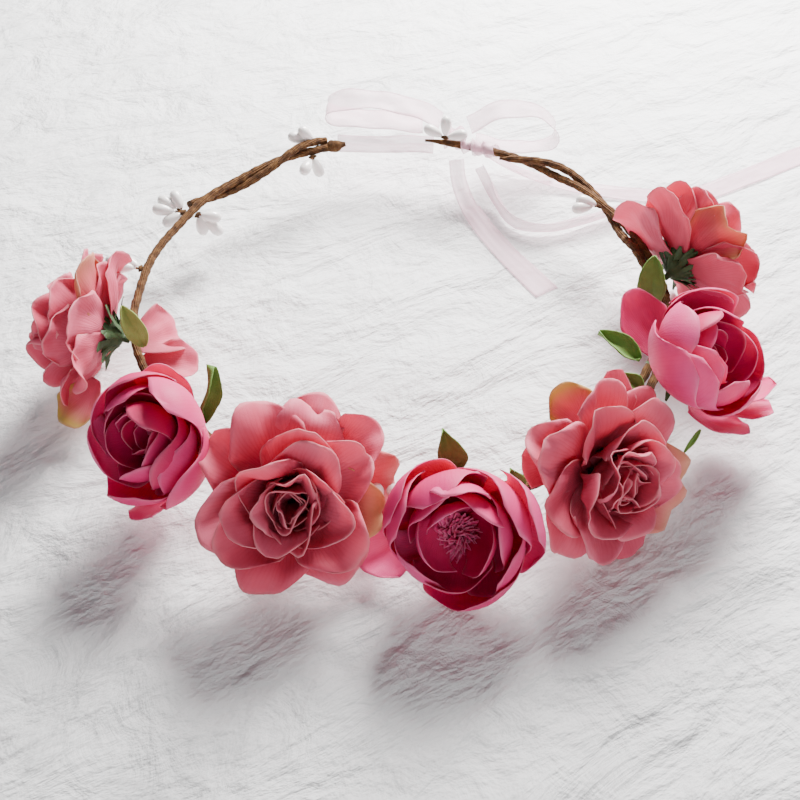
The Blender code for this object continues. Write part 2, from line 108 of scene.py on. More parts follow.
hoop = {
    "halfWidth": 0.088,
    "backDepth": 0.090,
    "frontDepth": 0.077,
    "height": 0.023,
    "frontDip": 0.013,  # the flowers weigh the front down
}


def hoopPoint(degrees, outward=0.0, up=0.0):
    angle = math.radians(degrees)
    depth = hoop["backDepth"] if math.sin(angle) > 0 else hoop["frontDepth"]
    point = Vector((hoop["halfWidth"] * math.cos(angle), depth * math.sin(angle), 0))
    normal = Vector((depth * math.cos(angle), hoop["halfWidth"] * math.sin(angle), 0)).normalized()
    height = hoop["height"] - hoop["frontDip"] * max(0.0, -math.sin(angle)) ** 2
    return point + normal * outward + Vector((0, 0, height + up))


def hoopTangent(degrees):
    return (hoopPoint(degrees - 0.5) - hoopPoint(degrees + 0.5)).normalized()


def hoopOutward(degrees):
    return (hoopPoint(degrees, 0.001) - hoopPoint(degrees)).normalized()


# Shader parts

def addNode(tree, kind, **settings):
    node = tree.nodes.new(kind)
    for name, value in settings.items():
        setattr(node, name, value)
    return node


def mixColors(tree, factor, first, second):
    node = addNode(tree, "ShaderNodeMix", data_type="RGBA")
    for socket, value in ((node.inputs[0], factor), (node.inputs[6], first), (node.inputs[7], second)):
        if isinstance(value, bpy.types.NodeSocket):
            tree.links.new(value, socket)
        else:
            socket.default_value = value
    return node.outputs[2]


def mathNode(tree, operation, first, second=0.0, clamp=False):
    node = addNode(tree, "ShaderNodeMath", operation=operation, use_clamp=clamp)
    for socket, value in zip(node.inputs, (first, second)):
        if isinstance(value, bpy.types.NodeSocket):
            tree.links.new(value, socket)
        else:
            socket.default_value = value
    return node.outputs[0]


def ramp(tree, factor, stops):
    node = addNode(tree, "ShaderNodeValToRGB")
    node.color_ramp.elements[0].position = stops[0][0]
    node.color_ramp.elements[0].color = stops[0][1]
    node.color_ramp.elements[1].position = stops[-1][0]
    node.color_ramp.elements[1].color = stops[-1][1]
    for position, color in stops[1:-1]:
        node.color_ramp.elements.new(position).color = color
    tree.links.new(factor, node.inputs[0])
    return node.outputs[0]


def newMaterial(name):
    material = bpy.data.materials.new(name)
    material.use_nodes = True
    tree = material.node_tree
    tree.nodes.clear()
    output = addNode(tree, "ShaderNodeOutputMaterial")
    return material, tree, output


def attribute(tree, name):
    return addNode(tree, "ShaderNodeAttribute", attribute_name=name).outputs["Fac"]


def makeClothGroup():
    group = bpy.data.node_groups.new("soft cloth", "ShaderNodeTree")
    for name, value in (("Grain", 2600.0), ("Mottle", 220.0)):
        socket = group.interface.new_socket(name, in_out="INPUT", socket_type="NodeSocketFloat")
        socket.default_value = value
    group.interface.new_socket("Height", in_out="OUTPUT", socket_type="NodeSocketFloat")
    group.interface.new_socket("Blotch", in_out="OUTPUT", socket_type="NodeSocketFloat")
    entry = addNode(group, "NodeGroupInput")
    leave = addNode(group, "NodeGroupOutput")
    place = addNode(group, "ShaderNodeTexCoord").outputs["Object"]
    for size, output, detail in (("Grain", "Height", 2.0), ("Mottle", "Blotch", 4.0)):
        cloud = addNode(group, "ShaderNodeTexNoise")
        cloud.inputs["Detail"].default_value = detail
        group.links.new(place, cloud.inputs["Vector"])
        group.links.new(entry.outputs[size], cloud.inputs["Scale"])
        group.links.new(cloud.outputs["Fac"], leave.inputs[output])
    return group


clothGroup = makeClothGroup()


def fanVeins(tree, uv, count):
    # fine lines that spread from the root of a petal to its rim
    parts = addNode(tree, "ShaderNodeSeparateXYZ")
    tree.links.new(uv, parts.inputs[0])
    spread = mathNode(tree, "ADD", mathNode(tree, "MULTIPLY", parts.outputs["X"], 0.75), 0.3)
    fan = mathNode(tree, "DIVIDE", mathNode(tree, "SUBTRACT", parts.outputs["Y"], 0.5), spread)
    bent = addNode(tree, "ShaderNodeCombineXYZ")
    tree.links.new(fan, bent.inputs["X"])
    tree.links.new(mathNode(tree, "MULTIPLY", parts.outputs["X"], 0.35), bent.inputs["Y"])
    lines = addNode(tree, "ShaderNodeTexWave", bands_direction="X")
    lines.inputs["Scale"].default_value = count
    lines.inputs["Distortion"].default_value = 6.0
    lines.inputs["Detail"].default_value = 3.0
    lines.inputs["Detail Scale"].default_value = 1.5
    tree.links.new(bent.outputs[0], lines.inputs["Vector"])
    return mathNode(tree, "POWER", lines.outputs["Fac"], 3.0)


def makePetalMaterial(name, look):
    # cut cloth: painted shade makes it deep in the folds near the root and paler towards the rim, an olive tint
    # where the petal's own tint says so
    material, tree, output = newMaterial(name)
    cloth = addNode(tree, "ShaderNodeGroup", node_tree=clothGroup)
    cloth.inputs["Grain"].default_value = 3800.0
    cloth.inputs["Mottle"].default_value = 130.0
    fromBase = attribute(tree, "fromBase")
    nearRim = attribute(tree, "nearRim")
    tone = attribute(tree, "tone")
    tint = attribute(tree, "tint")
    # painted shade: darkest at the petal's root, lighter towards its rim
    body = ramp(tree, fromBase, ((0.0, look["deep"]), (0.4, look["middle"]), (1.0, look["light"])))
    darker = mathNode(tree, "MULTIPLY", mathNode(tree, "SUBTRACT", 0.5, tone, True), 1.6)
    body = mixColors(tree, darker, body, look["deep"])
    paler = mathNode(tree, "MULTIPLY", mathNode(tree, "SUBTRACT", tone, 0.5, True), 1.3)
    body = mixColors(tree, paler, body, look["pale"])
    mottled = mathNode(tree, "MULTIPLY", mathNode(tree, "SUBTRACT", cloth.outputs["Blotch"], 0.42, True), 1.6)
    body = mixColors(tree, mottled, body, look["middle"])
    uv = addNode(tree, "ShaderNodeUVMap", uv_map="petalUv").outputs[0]
    veins = fanVeins(tree, uv, look["veins"])
    faded = mathNode(tree, "MULTIPLY", fromBase, look["veinShare"])
    veinFade = mathNode(tree, "SUBTRACT", look["veinShare"], faded)
    body = mixColors(tree, mathNode(tree, "MULTIPLY", veins, veinFade), body, look["deep"])
    closeToRim = mathNode(tree, "POWER", nearRim, 4.0)
    olive = mathNode(tree, "MULTIPLY", tint, mathNode(tree, "MULTIPLY", closeToRim, 0.9))
    body = mixColors(tree, olive, body, look["olive"])
    # pale line on the cut edge of the cloth: partly the edge's own colour, partly a painted highlight where the
    # edge catches the light
    cutEdgeAndHighlight = mathNode(tree, "MULTIPLY", mathNode(tree, "POWER", nearRim, 30.0), 0.40)
    body = mixColors(tree, cutEdgeAndHighlight, body, look["rim"])
    bump = addNode(tree, "ShaderNodeBump")
    bump.inputs["Strength"].default_value = 0.50
    bump.inputs["Distance"].default_value = 0.0003
    veinRelief = mathNode(tree, "MULTIPLY", mathNode(tree, "MULTIPLY", veins, veinFade), -1.5)
    relief = mathNode(tree, "ADD", mathNode(tree, "MULTIPLY", cloth.outputs["Height"], 0.6), veinRelief)
    tree.links.new(relief, bump.inputs["Height"])
    shader = addNode(tree, "ShaderNodeBsdfPrincipled")
    shader.inputs["Roughness"].default_value = look["roughness"]
    shader.inputs["Sheen Weight"].default_value = 0.12
    shader.inputs["Sheen Roughness"].default_value = 0.35
    shader.inputs["Sheen Tint"].default_value = look["pale"]
    shader.inputs["Specular IOR Level"].default_value = 0.30
    tree.links.new(body, shader.inputs["Base Color"])
    tree.links.new(bump.outputs[0], shader.inputs["Normal"])
    through = addNode(tree, "ShaderNodeBsdfTranslucent")
    tree.links.new(body, through.inputs["Color"])
    tree.links.new(bump.outputs[0], through.inputs["Normal"])
    both = addNode(tree, "ShaderNodeMixShader")
    both.inputs[0].default_value = look["throughShare"]
    tree.links.new(shader.outputs[0], both.inputs[1])
    tree.links.new(through.outputs[0], both.inputs[2])
    tree.links.new(both.outputs[0], output.inputs["Surface"])
    return material


rosePetalLook = {
    # deep: painted shade at the petal roots, and the colour of the darker petals and of the veins
    "deep": (0.46, 0.018, 0.040, 1),
    "middle": (0.70, 0.076, 0.148, 1),
    "light": (0.82, 0.142, 0.240, 1),
    "pale": (0.90, 0.255, 0.380, 1),
    "rim": (0.92, 0.500, 0.510, 1),
    "olive": (0.66, 0.480, 0.120, 1),
    "veins": 6.0,
    "veinShare": 0.38,
    "roughness": 0.55,
    "throughShare": 0.34,
}
ranunculusPetalLook = {
    # deep: painted shade at the petal roots, and the colour of the darker petals and of the veins
    "deep": (0.50, 0.001, 0.028, 1),
    "middle": (0.80, 0.024, 0.170, 1),
    "light": (0.88, 0.060, 0.280, 1),
    "pale": (0.93, 0.145, 0.410, 1),
    "rim": (0.92, 0.420, 0.560, 1),
    "olive": (0.60, 0.300, 0.150, 1),
    "veins": 7.0,
    "veinShare": 0.28,
    "roughness": 0.48,
    "throughShare": 0.32,
}
rosePetal = makePetalMaterial("rose petal cloth", rosePetalLook)
ranunculusPetal = makePetalMaterial("ranunculus petal cloth", ranunculusPetalLook)


def makeLeafMaterial(name, look):
    material, tree, output = newMaterial(name)
    cloth = addNode(tree, "ShaderNodeGroup", node_tree=clothGroup)
    cloth.inputs["Grain"].default_value = 2400.0
    cloth.inputs["Mottle"].default_value = 420.0
    body = mixColors(tree, cloth.outputs["Blotch"], look["dark"], look["light"])
    paleRim = mathNode(tree, "MULTIPLY", attribute(tree, "nearRim"), 0.25)
    body = mixColors(tree, paleRim, body, look["light"])
    bump = addNode(tree, "ShaderNodeBump")
    bump.inputs["Strength"].default_value = 0.5
    bump.inputs["Distance"].default_value = 0.0004
    relief = mathNode(tree, "ADD", cloth.outputs["Height"], cloth.outputs["Blotch"])
    tree.links.new(relief, bump.inputs["Height"])
    shader = addNode(tree, "ShaderNodeBsdfPrincipled")
    shader.inputs["Roughness"].default_value = look["roughness"]
    shader.inputs["Sheen Weight"].default_value = look["sheen"]
    shader.inputs["Sheen Tint"].default_value = look["light"]
    tree.links.new(body, shader.inputs["Base Color"])
    tree.links.new(bump.outputs[0], shader.inputs["Normal"])
    tree.links.new(shader.outputs[0], output.inputs["Surface"])
    return material


leafLook = {
    "light": (0.150, 0.290, 0.045, 1),
    "dark": (0.055, 0.130, 0.018, 1),
    "roughness": 0.75,
    "sheen": 0.15,
}
feltLook = {
    "light": (0.290, 0.380, 0.100, 1),
    "dark": (0.190, 0.270, 0.055, 1),
    "roughness": 0.90,
    "sheen": 0.5,
}
calyxLook = {
    "light": (0.035, 0.085, 0.014, 1),
    "dark": (0.008, 0.022, 0.005, 1),
    "roughness": 0.65,
    "sheen": 0.05,
}
leafCloth = makeLeafMaterial("leaf cloth", leafLook)
feltLeaf = makeLeafMaterial("felted leaf cloth", feltLook)
calyxGreen = makeLeafMaterial("calyx green", calyxLook)


paperLook = {
    "dark": (0.026, 0.010, 0.004, 1),
    "middle": (0.120, 0.052, 0.018, 1),
    "light": (0.270, 0.135, 0.048, 1),
    "crease": (0.075, 0.035, 0.016, 1),
    "creaseShare": 0.35,
    "roughness": 0.85,
}


def makePaperMaterial():
    # crepe paper wound in a spiral, with fibres and darker bark-like flecks
    material, tree, output = newMaterial("vine paper")
    uv = addNode(tree, "ShaderNodeUVMap", uv_map="windUv").outputs[0]
    place = addNode(tree, "ShaderNodeTexCoord").outputs["Object"]
    fleck = addNode(tree, "ShaderNodeTexNoise")
    fleck.inputs["Scale"].default_value = 420.0
    fleck.inputs["Detail"].default_value = 5.0
    fleck.inputs["Roughness"].default_value = 0.65
    tree.links.new(place, fleck.inputs["Vector"])
    body = ramp(tree, fleck.outputs["Fac"], (
        (0.30, paperLook["dark"]),
        (0.50, paperLook["middle"]),
        (0.72, paperLook["light"]),
    ))
    crease = addNode(tree, "ShaderNodeTexWave", bands_direction="DIAGONAL")
    crease.inputs["Scale"].default_value = 9.0
    crease.inputs["Distortion"].default_value = 3.0
    crease.inputs["Detail"].default_value = 2.0
    tree.links.new(uv, crease.inputs["Vector"])
    creased = mathNode(tree, "MULTIPLY", crease.outputs["Fac"], paperLook["creaseShare"])
    body = mixColors(tree, creased, body, paperLook["crease"])
    bump = addNode(tree, "ShaderNodeBump")
    bump.inputs["Strength"].default_value = 0.8
    bump.inputs["Distance"].default_value = 0.0005
    tree.links.new(mathNode(tree, "ADD", fleck.outputs["Fac"], crease.outputs["Fac"]), bump.inputs["Height"])
    shader = addNode(tree, "ShaderNodeBsdfPrincipled")
    shader.inputs["Roughness"].default_value = paperLook["roughness"]
    shader.inputs["Specular IOR Level"].default_value = 0.2
    tree.links.new(body, shader.inputs["Base Color"])
    tree.links.new(bump.outputs[0], shader.inputs["Normal"])
    tree.links.new(shader.outputs[0], output.inputs["Surface"])
    return material


pearlLook = {
    "warm": (0.86, 0.80, 0.77, 1),
    "white": (0.93, 0.91, 0.89, 1),
    "roughness": 0.28,
    "coat": 0.5,
}


def makePearlMaterial():
    material, tree, output = newMaterial("pearl lacquer")
    place = addNode(tree, "ShaderNodeTexCoord").outputs["Object"]
    cloud = addNode(tree, "ShaderNodeTexNoise")
    cloud.inputs["Scale"].default_value = 260.0
    cloud.inputs["Detail"].default_value = 3.0
    tree.links.new(place, cloud.inputs["Vector"])
    body = mixColors(tree, cloud.outputs["Fac"], pearlLook["warm"], pearlLook["white"])
    bump = addNode(tree, "ShaderNodeBump")
    bump.inputs["Strength"].default_value = 0.15
    bump.inputs["Distance"].default_value = 0.0003
    tree.links.new(cloud.outputs["Fac"], bump.inputs["Height"])
    shader = addNode(tree, "ShaderNodeBsdfPrincipled")
    shader.inputs["Roughness"].default_value = pearlLook["roughness"]
    shader.inputs["Coat Weight"].default_value = pearlLook["coat"]
    shader.inputs["Coat Roughness"].default_value = 0.15
    shader.inputs["Subsurface Weight"].default_value = 0.15
    shader.inputs["Subsurface Radius"].default_value = (0.001, 0.0008, 0.0007)
    tree.links.new(body, shader.inputs["Base Color"])
    tree.links.new(bump.outputs[0], shader.inputs["Normal"])
    tree.links.new(shader.outputs[0], output.inputs["Surface"])
    return material


organzaLook = {
    "color": (0.98, 0.64, 0.75, 1),
    "cover": 0.26,  # how much the open weave hides
    "threadCover": 0.12,
    "selvedgeCover": 0.35,
    "threads": 1600.0,
}


def makeOrganzaMaterial():
    # sheer woven ribbon, with firmer selvedges
    material, tree, output = newMaterial("sheer organza")
    uv = addNode(tree, "ShaderNodeUVMap", uv_map="ribbonUv").outputs[0]
    weave = []
    for direction in ("X", "Y"):
        wave = addNode(tree, "ShaderNodeTexWave", bands_direction=direction)
        wave.inputs["Scale"].default_value = organzaLook["threads"]
        tree.links.new(uv, wave.inputs["Vector"])
        weave.append(wave.outputs["Fac"])
    threads = mathNode(tree, "MAXIMUM", weave[0], weave[1])
    edge = mathNode(tree, "POWER", attribute(tree, "nearRim"), 12.0)
    woven = mathNode(tree, "MULTIPLY", threads, organzaLook["threadCover"])
    cover = mathNode(tree, "ADD", woven, organzaLook["cover"])
    cover = mathNode(tree, "ADD", cover, mathNode(tree, "MULTIPLY", edge, organzaLook["selvedgeCover"]), True)
    bump = addNode(tree, "ShaderNodeBump")
    bump.inputs["Strength"].default_value = 0.2
    bump.inputs["Distance"].default_value = 0.0001
    tree.links.new(threads, bump.inputs["Height"])
    shader = addNode(tree, "ShaderNodeBsdfPrincipled")
    shader.inputs["Base Color"].default_value = organzaLook["color"]
    shader.inputs["Roughness"].default_value = 0.45
    shader.inputs["Sheen Weight"].default_value = 0.5
    tree.links.new(cover, shader.inputs["Alpha"])
    tree.links.new(bump.outputs[0], shader.inputs["Normal"])
    tree.links.new(shader.outputs[0], output.inputs["Surface"])
    return material


def makeWireMaterial():
    material, tree, output = newMaterial("florist wire")
    place = addNode(tree, "ShaderNodeTexCoord").outputs["Object"]
    drawn = addNode(tree, "ShaderNodeTexNoise")
    drawn.inputs["Scale"].default_value = 900.0
    tree.links.new(place, drawn.inputs["Vector"])
    shader = addNode(tree, "ShaderNodeBsdfPrincipled")
    shader.inputs["Metallic"].default_value = 1.0
    shader.inputs["Base Color"].default_value = (0.42, 0.42, 0.44, 1)
    roughness = mathNode(tree, "ADD", mathNode(tree, "MULTIPLY", drawn.outputs["Fac"], 0.2), 0.3)
    tree.links.new(roughness, shader.inputs["Roughness"])
    tree.links.new(shader.outputs[0], output.inputs["Surface"])
    return material


vinePaper = makePaperMaterial()
pearlLacquer = makePearlMaterial()
organza = makeOrganzaMaterial()
floristWire = makeWireMaterial()
print("materials made")


# Petals

petalCut = {
    "rows": 18,
    "columns": 14,
    "thickness": 0.00025,
    "bow": 0.38,  # how much sooner the sides of a petal end than its middle
    "rootShare": 0.30,  # width at the root, as a share of the widest
    "bowSharpness": 2.2,
    "fullest": 0.66,  # a lower share puts the widest place nearer the rim
    "lowest": 0.0005,  # no petal reaches lower than this
    "restingOver": 0.0022,  # petals start to bend up from the table this far above it
}


def newPetalShell():
    shell = bmesh.new()
    shell.loops.layers.uv.new("petalUv")
    for name in ("fromBase", "nearRim", "tone", "tint"):
        shell.verts.layers.float.new(name)
    return shell


def cutGrid(shell, rows, columns, tone, tint, place):
    # a flat grid that place(share along, share across) bends into shape
    made = bmesh.ops.create_grid(shell, x_segments=rows, y_segments=columns, size=0.5, calc_uvs=True)["verts"]
    layers = shell.verts.layers.float
    for vert in made:
        along, across = vert.co.x + 0.5, vert.co.y * 2
        vert[layers["fromBase"]] = along
        vert[layers["nearRim"]] = max(along, abs(across) * smoothStep(0.0, 0.35, along))
        vert[layers["tone"]] = tone
        vert[layers["tint"]] = tint
        vert.co = place(along, across)
    return made


def sideLine(petal, steps=24):
    # the petal's middle line as seen from the side: (distance from the axis, height, slope) at even steps
    line = []
    out, high = petal["start"], petal["height"]
    for index in range(steps + 1):
        share = index / steps
        slope = mix(petal["rise"][0], petal["rise"][1], share ** petal["bend"])
        slope -= petal["curl"] * smoothStep(0.55, 1.0, share)
        slope = math.radians(slope)
        line.append((out, high, slope))
        out += math.cos(slope) * petal["length"] / steps
        high += math.sin(slope) * petal["length"] / steps
    return line


def onSideLine(line, share):
    place = min(share, 0.9999) * (len(line) - 1)
    index = int(place)
    return [mix(a, b, place - index) for a, b in zip(line[index], line[index + 1])]


def addPetal(shell, petal, frameOfHead, draw):
    line = sideLine(petal)
    turn = math.radians(petal["turn"])
    lean = math.radians(petal["lean"])
    seed = draw.uniform(0, 100)
    phase = draw.uniform(0, 6.28)

    def place(along, across):
        reach = along * (1 - petalCut["bow"] * abs(across) ** petalCut["bowSharpness"] * along * along)
        reach *= 1 + petal["notch"] * (1 - abs(across)) ** 3 * along
        out, high, slope = onSideLine(line, reach)
        fullness = math.sin(math.pi * petalCut["fullest"] * along) ** 0.9
        halfWidth = petal["width"] * mix(petalCut["rootShare"], 1.0, fullness)
        azimuth = turn + lean * along
        radial = Vector((math.cos(azimuth), math.sin(azimuth), 0))
        side = Vector((-math.sin(azimuth), math.cos(azimuth), 0))
        inward = Vector((0, 0, math.cos(slope))) - radial * math.sin(slope)
        lateral = across * halfWidth
        bent = lateral / petal["cup"]
        spot = radial * out + Vector((0, 0, high))
        spot += side * petal["cup"] * math.sin(bent) + inward * petal["cup"] * (1 - math.cos(bent))
        rim = smoothStep(0.45, 1.0, max(abs(across), along))
        around = math.atan2(across, along - 0.35)
        wave = petal["ruffle"] * rim * math.sin(petal["waves"] * around + phase)
        crumple = petal["crumple"] * noise.noise(Vector((across * 1.6, along * 1.8, seed)))
        crumple += petal["crumple"] * 0.35 * noise.noise(Vector((across * 4.2, along * 4.2, seed + 7)))
        crumple *= smoothStep(0.1, 0.6, along)
        roll = -petal["roll"] * smoothStep(0.55, 1.0, abs(across)) * along
        fold = petal["fold"] * math.sin(math.pi * across) * smoothStep(0.2, 0.8, along)
        spot += inward * (wave + crumple + roll + fold + petal["tuck"] * across * along)
        spot = frameOfHead @ spot
        over = petalCut["restingOver"]
        under = petalCut["lowest"] + over - spot.z
        if under > 0:
            spot.z = petalCut["lowest"] + over * math.exp(-under / over)
        return spot

    rows = petal.get("rows", petalCut["rows"])
    columns = petal.get("columns", petalCut["columns"])
    cutGrid(shell, rows, columns, petal["tone"], petal["tint"], place)


petalDefaults = {
    "turn": 0.0,
    "start": 0.0022,  # how far from the axis the petal is sewn on
    "height": 0.0,
    "length": 0.024,
    "width": 0.012,  # half of the petal's width
    "rise": (10, 40),
    "bend": 1.0,
    "curl": 0.0,
    "cup": 0.020,  # radius of the hollow across the petal
    "lean": 0.0,
    "notch": 0.0,
    "ruffle": 0.0004,
    "waves": 3.0,
    "crumple": 0.0006,
    "roll": 0.0,
    "fold": 0.0,  # how far the petal doubles over in an S across its width
    "tuck": 0.0006,
    "tone": 0.3,
    "tint": 0.0,
}


goldenAngle = 137.5  # degrees from each petal to the next one laid on


def addWhorl(shell, whorl, scale, head, frameOfHead, draw):
    # petals laid on one after another by the golden angle
    # each value goes from the outermost petal to the innermost
    count = whorl["count"]
    for number in range(count):
        inwardShare = number / (count - 1)
        petal = dict(petalDefaults)
        for name, (outermost, innermost) in whorl["petal"].items():
            petal[name] = mix(outermost, innermost, inwardShare)
        opening = head.get("open", 0) * whorl.get("opens", 0)
        petal["rise"] = (petal.pop("riseStart"), petal.pop("riseEnd") - opening)
        for size in ("start", "length", "width", "cup", "height"):
            petal[size] = petal[size] * scale
        petal["turn"] = whorl["first"] + head.get("turned", 0) + goldenAngle * number
        petal["turn"] += draw.uniform(-1, 1) * whorl["jitter"]
        petal["height"] += petalSeat + draw.uniform(0, 0.0004)
        petal["length"] *= 1 + draw.uniform(-0.07, 0.07)
        petal["width"] *= 1 + draw.uniform(-0.10, 0.10)
        slopeShift = draw.uniform(-1, 1) * whorl["loose"]
        petal["rise"] = (petal["rise"][0] + slopeShift * 0.5, petal["rise"][1] + slopeShift)
        petal["curl"] *= draw.uniform(0.6, 1.3)
        petal["lean"] *= draw.choice((-1, 1)) * draw.uniform(0.6, 1.3)
        petal["fold"] *= draw.choice((-1, 1)) * draw.uniform(0.5, 1.2)
        petal["notch"] = draw.uniform(*whorl["tips"])
        petal["tone"] = draw.uniform(*whorl["tones"])
        petal["tint"] = draw.uniform(0.3, 0.9) if draw.random() < whorl["oliveShare"] else 0.0
        addPetal(shell, petal, frameOfHead, draw)


roseWhorls = {
    "outer": {
        "count": 13, "first": 10, "jitter": 12, "loose": 8,
        "tones": (0.35, 0.95), "tips": (-0.08, 0.08), "oliveShare": 0.16,
        "petal": {
            "height": (0.0, 0.0026),
            "length": (0.0276, 0.0250),
            "width": (0.0118, 0.0120),
            "riseStart": (-6, 22),
            "riseEnd": (34, 70),
            "curl": (78, 62),
            "cup": (0.0165, 0.0130),
            "roll": (0.0034, 0.0032),
            "ruffle": (0.0013, 0.0015),
            "crumple": (0.0022, 0.0024),
            "lean": (7, 7),
        },
    },
    "inner": {
        "count": 9, "first": 55, "jitter": 14, "loose": 8,
        "tones": (0.30, 0.90), "tips": (-0.08, 0.10), "oliveShare": 0.0,
        "petal": {
            "height": (0.0030, 0.0046),
            "length": (0.0232, 0.0190),
            "width": (0.0120, 0.0104),
            "riseStart": (34, 56),
            "riseEnd": (80, 96),
            "curl": (52, 40),
            "cup": (0.0112, 0.0078),
            "roll": (0.0014, 0.0008),
            "ruffle": (0.0015, 0.0017),
            "waves": (3.0, 3.5),
            "crumple": (0.0030, 0.0036),
            "fold": (0.0016, 0.0026),
            "lean": (10, 14),
        },
    },
    "core": {
        "count": 8, "first": 12, "jitter": 16, "loose": 7,
        "tones": (0.20, 0.80), "tips": (-0.10, 0.10), "oliveShare": 0.0,
        "petal": {
            "start": (0.0020, 0.0006),
            "height": (0.0048, 0.0062),
            "length": (0.0180, 0.0132),
            "width": (0.0100, 0.0062),
            "riseStart": (60, 74),
            "riseEnd": (98, 102),
            "curl": (32, 12),
            "cup": (0.0066, 0.0032),
            "ruffle": (0.0014, 0.0010),
            "waves": (3.0, 4.0),
            "crumple": (0.0032, 0.0024),
            "fold": (0.0024, 0.0012),
            "lean": (16, 20),
        },
    },
}
ranunculusWhorls = {
    "outer": {
        "count": 8, "first": 0, "jitter": 8, "loose": 4,
        "tones": (0.35, 1.0), "tips": (-0.02, 0.10), "oliveShare": 0.0, "opens": 0.15,
        "petal": {
            "height": (0.0, 0.0016),
            "length": (0.0350, 0.0320),
            "width": (0.0175, 0.0155),
            "riseStart": (-6, 4),
            "riseEnd": (136, 156),
            "bend": (1.40, 1.30),
            "cup": (0.0195, 0.0165),
            "ruffle": (0.0002, 0.0002),
            "crumple": (0.0004, 0.0004),
            "tuck": (0.0014, 0.0012),
            "lean": (22, 18),
        },
    },
    "inner": {
        "count": 7, "first": 12, "jitter": 10, "loose": 4,
        "tones": (0.15, 0.80), "tips": (-0.03, 0.08), "oliveShare": 0.0, "opens": 1.0,
        "petal": {
            "height": (0.0022, 0.0040),
            "length": (0.0290, 0.0215),
            "width": (0.0145, 0.0105),
            "riseStart": (8, 34),
            "riseEnd": (150, 126),
            "bend": (1.25, 1.10),
            "cup": (0.0145, 0.0092),
            "ruffle": (0.0003, 0.0004),
            "crumple": (0.0004, 0.0006),
            "tuck": (0.0012, 0.0010),
            "lean": (16, 12),
        },
    },
    "core": {
        "count": 6, "first": 20, "jitter": 12, "loose": 5,
        "tones": (0.0, 0.45), "tips": (-0.03, 0.06), "oliveShare": 0.0, "opens": 0.6,
        "petal": {
            "start": (0.0022, 0.0010),
            "height": (0.0042, 0.0050),
            "length": (0.0165, 0.0095),
            "width": (0.0085, 0.0050),
            "riseStart": (44, 62),
            "riseEnd": (112, 96),
            "cup": (0.0076, 0.0045),
            "ruffle": (0.0004, 0.0004),
            "tuck": (0.0008, 0.0006),
            "lean": (12, 12),
        },
    },
}
roseSize = 0.0265  # the radius that the whorls above are cut for
ranunculusSize = 0.0205
petalSeat = 0.0086  # from the vine's middle to the first petals, along the stem

# degrees: place on the hoop; facing: compass direction and elevation; turned: all petals round the stem
heads = {
    "rose_far_left": {
        "kind": "rose", "degrees": -166, "facing": (168, 11),
        "radius": 0.0255, "seed": 11, "turned": -12,
    },
    "ranunculus_left": {
        "kind": "ranunculus", "degrees": -138, "facing": (238, 38),
        "radius": 0.0190, "seed": 12,
    },
    "rose_front_left": {
        "kind": "rose", "degrees": -111.5, "facing": (276, 44),
        "radius": 0.0280, "seed": 13, "turned": 8,
    },
    "ranunculus_front": {
        "kind": "ranunculus", "degrees": -78.5, "facing": (264, 33),
        "radius": 0.0205, "seed": 14, "open": 12,
    },
    "rose_front_right": {
        "kind": "rose", "degrees": -55, "facing": (-52, 30),
        "radius": 0.0270, "seed": 15,
    },
    "ranunculus_right": {
        "kind": "ranunculus", "degrees": -24, "facing": (-30, 50),
        "radius": 0.0195, "seed": 26,
    },
    "rose_far_right": {
        "kind": "rose", "degrees": 6, "facing": (38, 14),
        "radius": 0.0265, "seed": 17, "turned": 8,
    },
}


def headFrame(head):
    azimuth, elevation = head["facing"]
    facing = Vector((1, 0, 0))
    facing.rotate(Matrix.Rotation(math.radians(-elevation), 3, "Y"))
    facing.rotate(Matrix.Rotation(math.radians(azimuth), 3, "Z"))
    turn = facing.to_track_quat("Z", "Y").to_matrix().to_4x4()
    return Matrix.Translation(hoopPoint(head["degrees"])) @ turn


